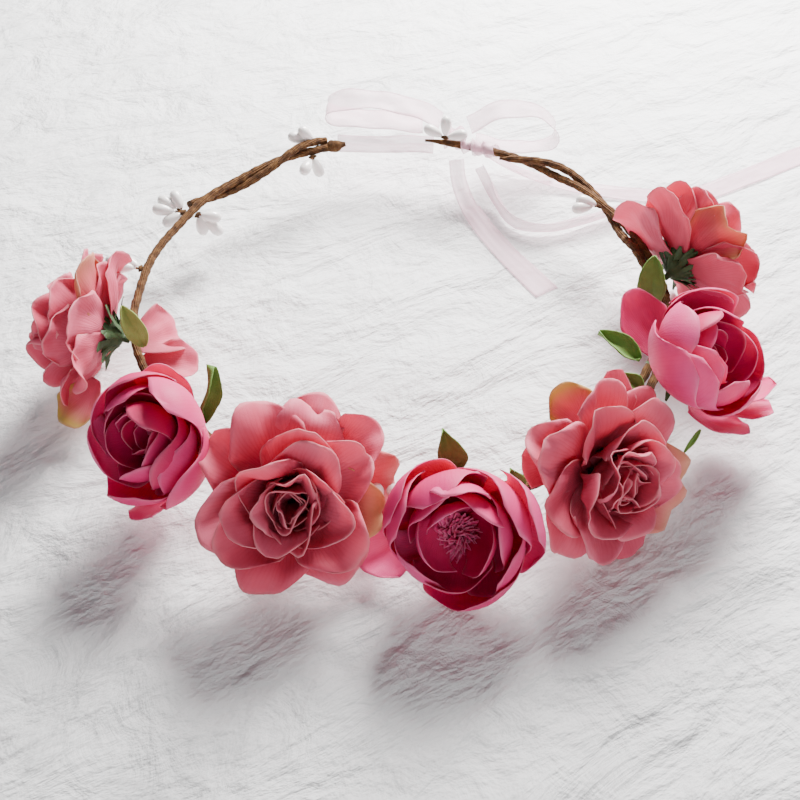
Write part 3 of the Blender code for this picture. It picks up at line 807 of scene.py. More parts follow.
# petals that have worked loose, set one by one: root, way the tip points, way the inside looks, cut
loosePetals = {
    "rose_far_left": (
        {"root": (-0.0865, -0.0160, 0.0180), "tip": (0.011, 0.0175, -0.008), "face": (0.2, -0.6, 0.8),
         "length": 0.0205, "width": 0.0098, "bow": -45},
        {"root": (-0.0850, -0.0185, 0.0125), "tip": (0.0155, 0.0050, -0.006), "face": (0.1, -0.3, 0.9),
         "length": 0.0195, "width": 0.0078, "bow": -40},
        {"root": (-0.0965, -0.0119, 0.0280), "tip": (-0.0038, 0.0121, 0.016), "face": (-0.8, 0.2, 0.2),
         "length": 0.0215, "width": 0.0060, "bow": -10},
        {"root": (-0.0928, -0.0135, 0.0260), "tip": (-0.0013, 0.0088, 0.016), "face": (-0.8, 0.2, 0.2),
         "length": 0.0200, "width": 0.0075, "bow": -10},
        {"root": (-0.0980, -0.0280, 0.0150), "tip": (-0.0080, -0.0120, -0.006), "face": (-0.3, -0.5, 0.8),
         "length": 0.0185, "width": 0.0090, "bow": 40, "tint": 1.6},
    ),
    "ranunculus_left": (
        {"root": (-0.0650, -0.0500, 0.0200), "tip": (-0.0110, 0.0052, 0.018), "face": (-0.3, -0.9, 0.3),
         "length": 0.0225, "width": 0.0115, "bow": 60},
        {"root": (-0.0643, -0.0690, 0.0110), "tip": (-0.0150, -0.0060, -0.004), "face": (-0.2, 0.3, 0.9),
         "length": 0.0190, "width": 0.0085, "bow": 30, "notch": 0.25},
    ),
    "rose_front_left": (
        {"root": (-0.0293, -0.0700, 0.0260), "tip": (0.007, 0.016, 0.012), "face": (0.0, -0.8, 0.6),
         "length": 0.0205, "width": 0.0100, "bow": -40},
        {"root": (-0.0208, -0.0680, 0.0250), "tip": (0.0158, 0.0045, 0.008), "face": (-0.2, -0.7, 0.7),
         "length": 0.0180, "width": 0.0090, "bow": -40},
    ),
    "ranunculus_front": (
        {"root": (0.0046, -0.0860, 0.0130), "tip": (-0.0115, -0.0062, -0.005), "face": (-0.2, -0.5, 0.8),
         "length": 0.0200, "width": 0.0092, "bow": 45},
        {"root": (0.0190, -0.0830, 0.0260), "tip": (-0.0060, -0.0100, 0.012), "face": (-0.2, -0.9, -0.2),
         "length": 0.0220, "width": 0.0110, "bow": 80},
    ),
    "rose_front_right": (
        {"root": (0.0500, -0.0690, 0.0200), "tip": (-0.0141, -0.0020, 0.010), "face": (-0.1, -0.8, 0.6),
         "length": 0.0195, "width": 0.0100, "bow": 50},
        {"root": (0.0558, -0.0600, 0.0250), "tip": (-0.0084, 0.0079, 0.010), "face": (0.1, -0.8, 0.5),
         "length": 0.0185, "width": 0.0080, "bow": 40, "tint": 1.6},
        {"root": (0.0617, -0.0600, 0.0250), "tip": (0.0006, 0.0096, 0.013), "face": (0.1, -0.8, 0.5),
         "length": 0.0195, "width": 0.0070, "bow": 10, "notch": 0.3},
    ),
    "ranunculus_right": (
        {"root": (0.0834, -0.0250, 0.0220), "tip": (-0.0108, 0.0165, 0.014), "face": (0.1, -0.75, 0.65),
         "length": 0.0250, "width": 0.0090, "bow": 55},
        {"root": (0.0960, -0.0410, 0.0210), "tip": (0.0170, 0.0046, 0.002), "face": (-0.4, 0.2, 0.9),
         "length": 0.0210, "width": 0.0075, "bow": 50, "notch": 0.3},
        {"root": (0.0960, -0.0405, 0.0170), "tip": (0.0165, 0.0000, -0.001), "face": (-0.4, 0.2, 0.9),
         "length": 0.0205, "width": 0.0070, "bow": 45, "notch": 0.35},
        {"root": (0.0900, -0.0405, 0.0150), "tip": (0.0170, -0.0050, -0.004), "face": (-0.3, 0.4, 0.9),
         "length": 0.0210, "width": 0.0080, "bow": 45, "notch": 0.3},
    ),
}


def addLoosePetal(shell, cut, draw):
    along = Vector(cut["tip"]).normalized()
    normal = Vector(cut["face"])
    normal = (normal - along * normal.dot(along)).normalized()
    # the petal's own frame has its axis behind it, so that a rising petal leans to its inside
    turn = Matrix((along, normal.cross(along), normal)).transposed().to_4x4()
    petal = dict(petalDefaults)
    petal.update({
        "start": 0.0,
        "length": cut["length"],
        "width": cut["width"],
        "rise": (-cut["bow"] / 2, cut["bow"] / 2),
        "cup": 0.013,
        "ruffle": 0.0006,
        "crumple": 0.0016,
        "tone": draw.uniform(0.7, 1.0),
        "tint": cut.get("tint", 0.0),
        "notch": cut.get("notch", 0.0),
    })
    addPetal(shell, petal, Matrix.Translation(Vector(cut["root"])) @ turn, draw)


calyxShape = {
    "sides": 20,
    "stemRadius": 0.0011,
    "stemStart": 0.0021,
    "cupBottom": 0.0042,
    "cupTop": 0.0082,
    "cupRadius": 0.0052,
    "sepals": 26,
    "sepalLength": 0.0105,
    "sepalWidth": 0.0012,
}


def makeCalyx(name, head, frameOfHead, draw):
    shape = calyxShape
    shell = newPetalShell()
    profile = (
        (0.0001, shape["stemStart"]),
        (shape["stemRadius"], shape["stemStart"]),
        (shape["stemRadius"], shape["cupBottom"]),
        (shape["stemRadius"] * 2.2, shape["cupBottom"] + 0.0003),
        (shape["cupRadius"] * 0.75, mix(shape["cupBottom"], shape["cupTop"], 0.45)),
        (shape["cupRadius"], shape["cupTop"]),
        (0.0001, shape["cupTop"] - 0.0004),
    )
    verts = [shell.verts.new((radius, 0, height)) for radius, height in profile]
    edges = [shell.edges.new(pair) for pair in zip(verts, verts[1:])]
    spinRound(shell, verts + edges, shape["sides"])
    bmesh.ops.remove_doubles(shell, verts=shell.verts, dist=0.00015)
    bmesh.ops.recalc_face_normals(shell, faces=shell.faces)
    bmesh.ops.transform(shell, matrix=frameOfHead, verts=shell.verts)
    for number in range(shape["sepals"]):
        sepal = dict(petalDefaults)
        sepal.update({
            "turn": 360 * number / shape["sepals"] + draw.uniform(-8, 8),
            "start": shape["stemRadius"] * 2.4,
            "height": shape["cupBottom"] + draw.uniform(0.0, 0.0016),
            "length": shape["sepalLength"] * draw.uniform(0.75, 1.2),
            "width": shape["sepalWidth"],
            "rise": (42, draw.uniform(-20, 80)),
            "cup": 0.003,
            "notch": 0.9,
            "ruffle": 0.0002,
            "crumple": 0.0004,
            "rows": 7,
            "columns": 3,
        })
        addPetal(shell, sepal, frameOfHead, draw)
    piece = meshPiece(name + "_calyx_green", shell, [calyxGreen])
    standFor(piece, "calyx_green", name + "_calyx")


stamens = {
    "count": 130,
    "length": (0.0032, 0.0060),
    "width": 0.0009,
    "spread": 0.0046,
    "tones": (0.6, 1.3),
    "hang": 0.0036,  # how far the bunch droops to the low side
    "above": 0.0040,  # over the first petals
}


def addStamens(shell, frameOfHead, draw):
    # a fuzzy bunch of cut threads in the heart of the flower, hanging a little to its low side
    low = frameOfHead.to_3x3().inverted() @ Vector((0, 0, -1))
    frameOfBunch = frameOfHead @ Matrix.Translation(Vector((low.x, low.y, 0)).normalized() * stamens["hang"])
    for number in range(stamens["count"]):
        share = math.sqrt((number + 0.5) / stamens["count"])
        thread = dict(petalDefaults)
        thread.update({
            "turn": goldenAngle * number,
            "start": stamens["spread"] * share,
            "height": petalSeat + stamens["above"],
            "length": draw.uniform(*stamens["length"]),
            "width": stamens["width"],
            "rise": (88 - 25 * share, 88 - 65 * share),
            "cup": 0.004,
            "ruffle": 0.0003,
            "crumple": 0.0016,
            "tone": draw.uniform(*stamens["tones"]),
            "rows": 5,
            "columns": 2,
        })
        addPetal(shell, thread, frameOfBunch, draw)


def makeHead(name, head):
    draw = random.Random(head["seed"])
    frameOfHead = headFrame(head)
    isRose = head["kind"] == "rose"
    whorls = roseWhorls if isRose else ranunculusWhorls
    scale = head["radius"] / (roseSize if isRose else ranunculusSize)
    makeCalyx(name, head, frameOfHead, draw)
    for part, cadNode in (("outer", "_outer_petals"), ("inner", "_inner_petals"), ("core", "_core")):
        shell = newPetalShell()
        if part == "core" and not isRose:
            addStamens(shell, frameOfHead, draw)
        if part != "core" or not head.get("open"):
            addWhorl(shell, whorls[part], scale, head, frameOfHead, draw)
        if part == "outer":
            for cut in loosePetals.get(name, ()):
                addLoosePetal(shell, cut, draw)
        material = rosePetal if isRose else ranunculusPetal
        piece = meshPiece(f"{name}_{part}_cloth", shell, [material], petalCut["thickness"])
        standFor(piece, "rose_petal" if isRose else "ranunculus_petal", name + cadNode)


for headName, head in heads.items():
    makeHead(headName, head)
print("flower heads made")


# Vine of wire wound in paper

vine = {
    "strandRadius": 0.0014,
    "spacing": 0.0030,  # from the middle of one strand to the other
    "sides": 12,
    "ringStep": 0.0008,
    "windPitch": 0.0046,
    "lip": 0.14,  # how far the edge of each turn of paper stands up
    # places along the hoop, in degrees
    "rightTip": 84,
    "rightSideTip": 64,
    "twistStart": 18,
    "sideEnd": -150,
    "splitPoint": -140,  # hidden under the left ranunculus; from here on the vine bends at the joint
    "bendStart": -166,
    "bendEnd": -178,
    "armTip": 108.5,
    "armSideStart": 147,
    "tapeEnd": 104,
    "tapeRadius": 0.0023,
    # degrees along the hoop for one twist of the side strand
    "frontPitch": 46,
    "armPitch": 42,
}


def evenPath(points, step):
    # the same line with its points at even distances
    lengths = [0.0]
    for a, b in zip(points, points[1:]):
        lengths.append(lengths[-1] + (b - a).length)
    count = max(2, int(lengths[-1] / step) + 1)
    path = []
    index = 0
    for number in range(count):
        target = lengths[-1] * number / (count - 1)
        while index < len(points) - 2 and lengths[index + 1] < target:
            index += 1
        span = lengths[index + 1] - lengths[index]
        path.append(points[index].lerp(points[index + 1], (target - lengths[index]) / span))
    return path, lengths[-1]


def carriedFrames(path):
    # a pair of directions across the line, carried along it without spin
    frames = []
    across = None
    for index, point in enumerate(path):
        ahead = (path[min(index + 1, len(path) - 1)] - path[max(index - 1, 0)]).normalized()
        if across is None:
            across = ahead.orthogonal()
        across = (across - ahead * across.dot(ahead)).normalized()
        frames.append((point, across, ahead.cross(across)))
    return frames


def windPaper(shell, points, radius, turnsPhase, taper=(0.0, 0.0)):
    # a paper-wound strand: a grid rolled round the line, with a raised lip along each turn
    path, length = evenPath([Vector(p) for p in points], vine["ringStep"])
    frames = carriedFrames(path)
    rows, sides = len(path) - 1, vine["sides"]
    made = bmesh.ops.create_grid(shell, x_segments=rows, y_segments=sides, size=0.5, calc_uvs=True)["verts"]
    for vert in made:
        share, around = vert.co.x + 0.5, vert.co.y + 0.5
        point, first, second = frames[min(rows, round(share * rows))]
        angle = around * 2 * math.pi
        wind = (share * length / vine["windPitch"] + around + turnsPhase) % 1.0
        size = radius * (1 + vine["lip"] * (smoothStep(0.0, 0.75, wind) - smoothStep(0.9, 1.0, wind) - 0.4))
        size *= 1 + 0.10 * noise.noise(point * 260 + first * math.cos(angle) + second * math.sin(angle))
        fromStart, fromEnd = share * length, (1 - share) * length
        for distance, slim in ((fromStart, taper[0]), (fromEnd, taper[1])):
            if slim:
                size *= mix(0.35, 1.0, smoothStep(0.0, slim, distance))
        vert.co = point + (first * math.cos(angle) + second * math.sin(angle)) * size
    bmesh.ops.remove_doubles(shell, verts=made, dist=0.00002)
    ends = [edge for edge in shell.edges if edge.is_boundary]
    bmesh.ops.holes_fill(shell, edges=ends, sides=0)


def newPaperShell():
    shell = bmesh.new()
    shell.loops.layers.uv.new("windUv")
    return shell


def twistOffset(degrees, start, turnsPerDegree):
    angle = math.pi + math.radians(max(0.0, degrees - start) * turnsPerDegree * 360)
    return vine["spacing"] * math.cos(angle), vine["spacing"] * math.sin(angle)


def degreesBetween(start, end, step=1.0):
    count = max(2, int(abs(end - start) / step) + 1)
    return [mix(start, end, i / (count - 1)) for i in range(count)]


def wobble(degrees, seed, size=0.0007):
    # hand-bent wire never follows the hoop exactly
    spot = Vector((degrees * 0.09, seed, 0))
    return noise.noise(spot) * size, noise.noise(spot + Vector((0, 0, 9))) * size


def mainLine(start, end):
    return [hoopPoint(d, *wobble(d, 1.0)) for d in degreesBetween(start, end)]


def woundStrand(name, line, phase, taper=(0.0, 0.0), radius=vine["strandRadius"]):
    shell = newPaperShell()
    windPaper(shell, line, radius, phase, taper)
    return meshPiece(name, shell, [vinePaper])


def makeMainStrand():
    line = mainLine(vine["rightTip"], vine["splitPoint"])
    frontWrap = woundStrand("front_vine_paper", line, 0.0, (0.012, 0))
    standFor(frontWrap, "vine_paper", "front_vine_wrap")
    line = mainLine(vine["splitPoint"], vine["armTip"] - 360)
    armWrap = woundStrand("bending_vine_paper", line, 0.3)
    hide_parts("arm_vine_wrap", "front_vine_wrap")
    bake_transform(armWrap, "band", "left_arm", start=hoopPoint(vine["bendStart"]), end=hoopPoint(vine["bendEnd"]))


def makeSideStrands():
    side = []
    for d in degreesBetween(vine["rightSideTip"], vine["sideEnd"]):
        outward, up = twistOffset(d, vine["twistStart"], 1 / vine["frontPitch"])
        dx, dz = wobble(d, 5.0)
        side.append(hoopPoint(d, outward + dx, up + dz))
    strand = woundStrand("front_side_paper", side, 0.5, (0.006, 0.01))
    standFor(strand, "vine_paper", "front_side_strand")
    side = []
    for d in degreesBetween(vine["armSideStart"], vine["armTip"]):
        outward, up = twistOffset(vine["armSideStart"] - d, 0, 1 / vine["armPitch"])
        dx, dz = wobble(d, 7.0)
        side.append(hoopPoint(d, dx - outward, up + dz))
    strand = woundStrand("arm_side_paper", side, 0.2)
    standFor(strand, "vine_paper", "arm_side_strand")


def makeTape():
    tape = [hoopPoint(d) for d in degreesBetween(vine["armTip"] + 1.0, vine["tapeEnd"], 0.5)]
    tip = woundStrand("arm_tip_paper", tape, 0.1, (0.0030, 0.004), vine["tapeRadius"])
    standFor(tip, "vine_paper", "arm_end_tape")


def coatWires():
    for node in ("front_vine_wire", "arm_vine_wire"):
        wire = frame["nodes"][node]
        wire.data.materials.clear()
        wire.data.materials.append(floristWire)


makeMainStrand()
makeSideStrands()
makeTape()
coatWires()
print("vine made")


# Sprigs of pearl pips

pipShape = {
    "length": 0.0078,
    "radius": 0.0021,
    "taper": 0.30,  # how much slimmer the root of a pip is
    "tipRadius": 0.00012,
    "stemRadius": 0.00045,
    "beadRadius": 0.0008,  # paper wound over the place where the stems meet the vine
    "beadHalf": 0.0016,
    "beadTaper": 0.0012,
    "clearance": 0.0001,
    "closeness": 0.80,  # where the middle of a pip lies on the way to its listed point
    "sides": 12,
    "rings": 9,
}
# degrees on the hoop, side of the vine (outward, up), and where each pip points (forward, outward, up)
sprigs = {
    "pips_left": (170, (1, 0), ((0.002, 0.004, 0.000), (-0.001, 0.0075, 0.0005), (0.001, 0.011, 0.001))),
    "pips_upper_left": (150, (1, 0), (
        (0.000, 0.0085, 0.002),
        (-0.004, 0.008, 0.001),
        (0.003, 0.005, 0.003),
        (-0.004, 0.003, -0.002),
    )),
    "pips_hanging": (148, (-1, -1), (
        (0.000, -0.001, -0.005),
        (0.004, -0.004, -0.002),
        (0.004, -0.005, -0.008),
    )),
    "pips_knot_left": (111, (1, 0.6), ((-0.008, 0.0035, 0.003), (-0.004, 0.002, 0.005))),
    "pips_below_knot": (113, (-1, -0.6), ((0.001, -0.0015, -0.004), (-0.005, -0.005, -0.001))),
    "pips_knot_right": (79, (0, 1), ((-0.006, 0.001, 0.002), (0.000, 0.001, 0.0045), (0.006, 0.000, 0.002))),
    "pips_right": (34, (-1, 0.3), ((-0.003, -0.003, 0.001), (-0.003, -0.007, 0.000))),
    "pips_front": (-94, (0, 1), ((0.001, -0.001, 0.005), (-0.003, -0.002, 0.0035))),
    "pips_right_front": (-36, (1, 0), ((-0.004, 0.006, 0.000), (0.000, 0.008, 0.001))),
}


def addPip(shell, root, way):
    # a pearl pip on its stem, pointing along way; gives back how far out the pearl starts
    half = pipShape["length"] / 2
    middle = max(way.length * pipShape["closeness"], half * 1.2)
    profile = [(pipShape["stemRadius"], 0.0), (pipShape["stemRadius"], middle - half * 1.15)]
    for index in range(pipShape["rings"] + 1):
        angle = math.pi * index / pipShape["rings"]
        swell = pipShape["radius"] * math.sin(angle) ** 0.9 * (1 - pipShape["taper"] * math.cos(angle))
        profile.append((max(swell, pipShape["tipRadius"]), middle - half * math.cos(angle)))
    line = [shell.verts.new((radius, 0, height)) for radius, height in profile]
    edges = [shell.edges.new(pair) for pair in zip(line, line[1:])]
    spinRound(shell, line + edges, pipShape["sides"])
    fresh = [vert for vert in shell.verts if not vert.tag]
    turn = way.to_track_quat("Z", "Y").to_matrix().to_4x4()
    bmesh.ops.transform(shell, matrix=Matrix.Translation(root) @ turn, verts=fresh)
    for vert in fresh:
        vert.tag = True
    return middle - half * 0.9


def makeSprig(name, degrees, side, ends):
    reach = (vine["strandRadius"] + pipShape["clearance"] + pipShape["beadRadius"]) / math.hypot(*side)
    root = hoopPoint(degrees, side[0] * reach, side[1] * reach)
    along, out = hoopTangent(degrees), hoopOutward(degrees)
    shell = newPaperShell()
    pearls = []
    for forward, outward, up in ends:
        way = along * forward + out * outward + Vector((0, 0, up))
        pearls.append((way.normalized(), addPip(shell, root, way)))
    bmesh.ops.remove_doubles(shell, verts=shell.verts, dist=0.00003)
    rims = [edge for edge in shell.edges if edge.is_boundary]
    bmesh.ops.holes_fill(shell, edges=rims, sides=0)
    bmesh.ops.recalc_face_normals(shell, faces=shell.faces)
    beadReach = along * pipShape["beadHalf"]
    bead = [root - beadReach, root, root + beadReach]
    windPaper(shell, bead, pipShape["beadRadius"], 0.4, (pipShape["beadTaper"], pipShape["beadTaper"]))
    for face in shell.faces:
        middle = face.calc_center_median() - root
        isPearl = any(
            middle.dot(way) > start and (middle - way * middle.dot(way)).length < pipShape["radius"] * 1.2
            for way, start in pearls
        )
        face.material_index = 0 if isPearl else 1
    piece = meshPiece(name + "_pearls", shell, [pearlLacquer, vinePaper])
    standFor(piece, "pearl_pip", name)


for sprigName, (degrees, side, ends) in sprigs.items():
    makeSprig(sprigName, degrees, side, ends)
print("pips made")


# Leaves

leafShape = {"rows": 14, "columns": 12, "thickness": 0.0004}
leaves = {
    "leaf_far_left": {
        "degrees": -161.5, "beside": (-0.0024, 0.0035), "tip": (-0.42, 0.42, 0.80), "face": (0.2, -0.75, 0.6),
        "length": 0.0148, "width": 0.0066, "point": 0.0, "curl": 0.0008, "felted": True,
    },
    "leaf_left": {
        "degrees": -136, "beside": (-0.0024, 0.0050), "tip": (0.20, 0.62, 0.75), "face": (0.9, -0.40, 0.4),
        "length": 0.0175, "width": 0.0070, "point": 0.7, "curl": 0.0030,
    },
    "leaf_front": {
        "degrees": -78.5, "beside": (-0.0066, 0.0095), "tip": (-0.31, 0.28, 0.91), "face": (0.1, -0.9, 0.4),
        "length": 0.0148, "width": 0.0084, "point": 0.9, "curl": 0.0018,
    },
    "leaf_front_small": {
        "degrees": -67, "beside": (0.0028, 0.0055), "tip": (-0.52, 0.26, 0.82), "face": (0, -0.8, 0.6),
        "length": 0.0074, "width": 0.0044, "point": 0.8, "curl": 0.0008,
    },
    "leaf_far_right": {
        "degrees": -5.5, "beside": (-0.0061, 0.0039), "tip": (-0.02, 0.43, 0.90), "face": (-0.4, -0.75, 0.6),
        "length": 0.0170, "width": 0.0092, "point": 0.0, "curl": 0.0012,
    },
    "leaf_right": {
        "degrees": -24.5, "beside": (-0.0060, 0.0036), "tip": (-0.81, 0.55, 0.22), "face": (0.1, -0.3, 0.95),
        "length": 0.0155, "width": 0.0070, "point": 1.0, "curl": 0.0020,
    },
    "leaf_right_small": {
        "degrees": -31.5, "beside": (-0.0006, 0.0040), "tip": (-0.81, 0.43, 0.30), "face": (0, -0.6, 0.8),
        "length": 0.0080, "width": 0.0048, "point": 0.8, "curl": 0.0010,
    },
    "leaf_right_tip": {
        "degrees": -29, "beside": (0.0190, -0.0072), "tip": (-0.42, -0.30, -0.75), "face": (-0.2, -0.6, 0.5),
        "length": 0.0092, "width": 0.0016, "point": 1.0, "curl": 0.0003,
    },
}


def makeLeaf(name, leaf):
    # point: 0 is a round leaf, 1 a pointed one
    along = Vector(leaf["tip"]).normalized()
    normal = Vector(leaf["face"])
    normal = (normal - along * normal.dot(along)).normalized()
    turn = Matrix((along, normal.cross(along), normal)).transposed().to_4x4()
    frameOfLeaf = Matrix.Translation(hoopPoint(leaf["degrees"], *leaf["beside"])) @ turn
    length, width = leaf["length"], leaf["width"]

    def place(share, side):
        roundWidth = math.sin(math.pi * share ** 0.85) ** 0.75
        sharpWidth = math.sin(math.pi * share ** 0.75)
        halfWidth = width / 2 * mix(0.10, 1.0, mix(roundWidth, sharpWidth, leaf["point"]))
        halfWidth *= 1 + 0.10 * noise.noise(Vector((share * 5, side, length * 900)))
        cup = leaf["curl"] * side * side + length * 0.10 * math.sin(math.pi * share)
        cup += length * 0.05 * noise.noise(Vector((share * 2.5, side * 1.2, length * 500)))
        vein = 0.0002 * abs(math.sin(share * 18 - abs(side) * 5)) * abs(side)
        rib = 0.0003 * math.exp(-(side / 0.12) ** 2)
        return frameOfLeaf @ Vector((share * length, side * halfWidth, cup + vein - rib))

    shell = newPetalShell()
    cutGrid(shell, leafShape["rows"], leafShape["columns"], 0.5, 0.0, place)
    material = feltLeaf if leaf.get("felted") else leafCloth
    piece = meshPiece(name + "_cloth", shell, [material], leafShape["thickness"])
    standFor(piece, "leaf_green", name)


for leafName, leaf in leaves.items():
    makeLeaf(leafName, leaf)
print("leaves made")


# Organza ribbon

ribbon = {
    "width": 0.010,
    "thickness": 0.00016,
    "step": 0.0016,
    "columns": 8,
    "tableFace": 0.0003,  # height of a strip that lies on the table
    "laidBelow": 0.0022,  # under this height the crumples only rise
    "bowDegrees": 77,
}


def smoothPath(points, steps=8):
    # a smooth curve through every point
    knots = [Vector(p) for p in points]
    knots = [knots[0] * 2 - knots[1]] + knots + [knots[-1] * 2 - knots[-2]]
    made = []
    for a, b, c, d in zip(knots, knots[1:], knots[2:], knots[3:]):
        for i in range(steps):
            t = i / steps
            square = (2 * a - 5 * b + 4 * c - d) * t**2
            cube = (3 * b - a - 3 * c + d) * t**3
            made.append((2 * b + (c - a) * t + square + cube) / 2)
    made.append(knots[-2])
    return made


def scaleUv(shell, name, length, width):
    # so that the weave keeps its size on every strip
    uvLayer = shell.loops.layers.uv[name]
    for face in shell.faces:
        for loop in face.loops:
            u, v = loop[uvLayer].uv
            loop[uvLayer].uv = (u * length, v * width)


def makeStrip(name, points, across, node, bodies=None, gather=(1.0, 1.0), crumple=0.0008):
    # a ribbon along points; across holds the way its width points at the first and the last point
    width = ribbon["width"]
    path, length = evenPath(smoothPath(points), ribbon["step"])
    first, last = (Vector(way) for way in across)
    rows = len(path) - 1
    upright = 1 if (path[-1] - path[-2]).cross(last).z >= 0 else -1
    shell = bmesh.new()
    shell.loops.layers.uv.new("ribbonUv")
    rim = shell.verts.layers.float.new("nearRim")
    columns = ribbon["columns"]
    made = bmesh.ops.create_grid(shell, x_segments=rows, y_segments=columns, size=0.5, calc_uvs=True)["verts"]
    for vert in made:
        share, side = vert.co.x + 0.5, vert.co.y * 2
        index = min(rows, round(share * rows))
        ahead = (path[min(index + 1, rows)] - path[max(index - 1, 0)]).normalized()
        way = first.lerp(last, share)
        way = (way - ahead * way.dot(ahead)).normalized()
        normal = ahead.cross(way)
        squeeze = mix(gather[0], gather[1], share)
        fold = math.sqrt(max(0.0, 1 - squeeze * squeeze))
        lift = crumple * noise.noise(Vector((share * length * 90, side * 0.8, len(name))))
        lift += width * 0.16 * fold * math.sin(side * math.pi * 1.5)
        if path[index].z < ribbon["laidBelow"]:
            lift = abs(lift) * 0.5
        vert[rim] = abs(side)
        vert.co = path[index] + way * (side * width / 2 * squeeze) + normal * lift * upright
    scaleUv(shell, "ribbonUv", length, width)
    piece = meshPiece(name, shell, [organza], ribbon["thickness"])
    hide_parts(node)
    if bodies:
        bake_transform(piece, *bodies[0], start=bodies[1], end=bodies[2])
    else:
        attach(piece, bodyOf[node])
    print(name, "length", round(length, 3))
    return piece, length


def fromBow(points):
    bow = hoopPoint(ribbon["bowDegrees"])
    return [bow + Vector(point) for point in points]


def downToTable(points):
    # points as (x, y) from the bow and a share of the bow's height; 0 lies on the table
    bow = hoopPoint(ribbon["bowDegrees"])
    return [Vector((bow.x + x, bow.y + y, max(ribbon["tableFace"], bow.z * share))) for x, y, share in points]


def makeBow():
    leftLoop = (
        (-0.0043, 0.0098, 0.0035),
        (-0.0168, 0.0123, 0.0085),
        (-0.0348, 0.0128, 0.0115),
        (-0.0473, 0.0123, 0.0095),
        (-0.0463, 0.0123, 0.0045),
        (-0.0318, 0.0123, 0.0025),
        (-0.0113, 0.0123, 0.0005),
    )
    rightLoop = (
        (0.0067, 0.0098, 0.0015),
        (0.0182, 0.0113, 0.0075),
        (0.0312, 0.0113, 0.0075),
        (0.0402, 0.0098, 0.0015),
        (0.0382, 0.0073, -0.0050),
        (0.0242, 0.0073, -0.0065),
        (0.0092, 0.0093, -0.0045),
    )
    across = ((0, 1, 0.2), (0, 1, 0.2))
    left = makeStrip("bow_loop_left_organza", fromBow(leftLoop), across, "bow_loop_left", crumple=0.0016)
    across = ((0, 1, 0.2), (0, 1, -0.2))
    right = makeStrip("bow_loop_right_organza", fromBow(rightLoop), across, "bow_loop_right", crumple=0.0016)
    return [left, right]


def makeTails():
    shortTail = (
        (0.0017, 0.0008, 0.652),
        (0.0027, -0.0037, 0.391),
        (0.0057, -0.0107, 0.152),
        (0.0102, -0.0197, 0.043),
        (0.0172, -0.0332, 0.000),
        (0.0252, -0.0467, 0.000),
        (0.0332, -0.0592, 0.000),
    )
    middleTail = (
        (0.0107, -0.0007, 0.543),
        (0.0152, -0.0082, 0.304),
        (0.0212, -0.0212, 0.183),
        (0.0302, -0.0277, 0.196),
        (0.0422, -0.0262, 0.196),
        (0.0562, -0.0202, 0.196),
        (0.0692, -0.0142, 0.196),
    )
    longTail = (
        (0.0122, 0.0108, 0.543),
        (0.0242, 0.0083, 0.261),
        (0.0382, 0.0043, 0.109),
        (0.0542, 0.0003, 0.043),
        (0.0762, -0.0027, 0.000),
        (0.0962, -0.0027, 0.000),
        (0.1182, 0.0083, 0.000),
        (0.1402, 0.0213, 0.000),
        (0.1522, 0.0278, 0.000),
    )
    tails = []
    for name, points, across, gather in (
        ("short", shortTail, ((1, 0.4, 0), (0.86, 0.52, 0)), (0.7, 1.0)),
        ("middle", middleTail, ((0.3, 0.3, 1), (0, -0.3, 1)), (0.6, 0.6)),
        ("long", longTail, ((0, 1, 0), (-0.4, 0.9, 0)), (0.7, 1.0)),
    ):
        node = "ribbon_tail_" + name
        tails.append(makeStrip(name + "_tail_organza", downToTable(points), across, node, gather=gather))
    return tails


def makeBridge():
    # tied over from the right tip to the end of the left arm
    line = [hoopPoint(vine["tapeEnd"] + 1.6, 0.0036, -0.0015)]
    line += [hoopPoint(d, 0.0025, -0.0035) for d in (96, 88, 82)]
    bends = (("band", "left_arm"), line[-1], line[0])
    across = ((0, 0, 1), (0, 0, 1))
    return makeStrip("bridge_organza", line, across, "ribbon_bridge", bodies=bends, gather=(0.6, 0.6))


def makeKnot():
    middle = hoopPoint(ribbon["bowDegrees"], 0.0062, -0.001)
    along, out = hoopTangent(ribbon["bowDegrees"]), hoopOutward(ribbon["bowDegrees"])
    ring = []
    for turn in degreesBetween(-20, 380, 20):
        angle = math.radians(turn)
        size = 0.0036 + 0.0006 * turn / 360
        ring.append(middle + out * size * math.cos(angle) + Vector((0, 0, size * math.sin(angle))))
    across = (along, along)
    return makeStrip("knot_organza", ring, across, "ribbon_knot", gather=(0.75, 0.75), crumple=0.0010)


def makeTurns():
    # wound round the right tip, under the bow
    wound = []
    wholeTurn = 360 * 2.2
    for turn in degreesBetween(0, wholeTurn, 20):
        angle = math.radians(turn)
        size = vine["strandRadius"] + 0.0007
        degrees = mix(73, 67, turn / wholeTurn)
        wound.append(hoopPoint(degrees, size * math.cos(angle), size * math.sin(angle)))
    across = (hoopTangent(70), hoopTangent(70))
    return makeStrip("wrap_organza", wound, across, "ribbon_wrap", gather=(0.8, 0.8), crumple=0.0003)


def makeTies():
    return [makeBridge(), makeKnot(), makeTurns()]


def makeRibbon():
    for makeStrips, held in ((makeBow, "folded"), (makeTails, "laid"), (makeTies, "gathered")):
        for strip, length in makeStrips():
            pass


makeRibbon()
print("ribbon made")


# Table, lamps and camera

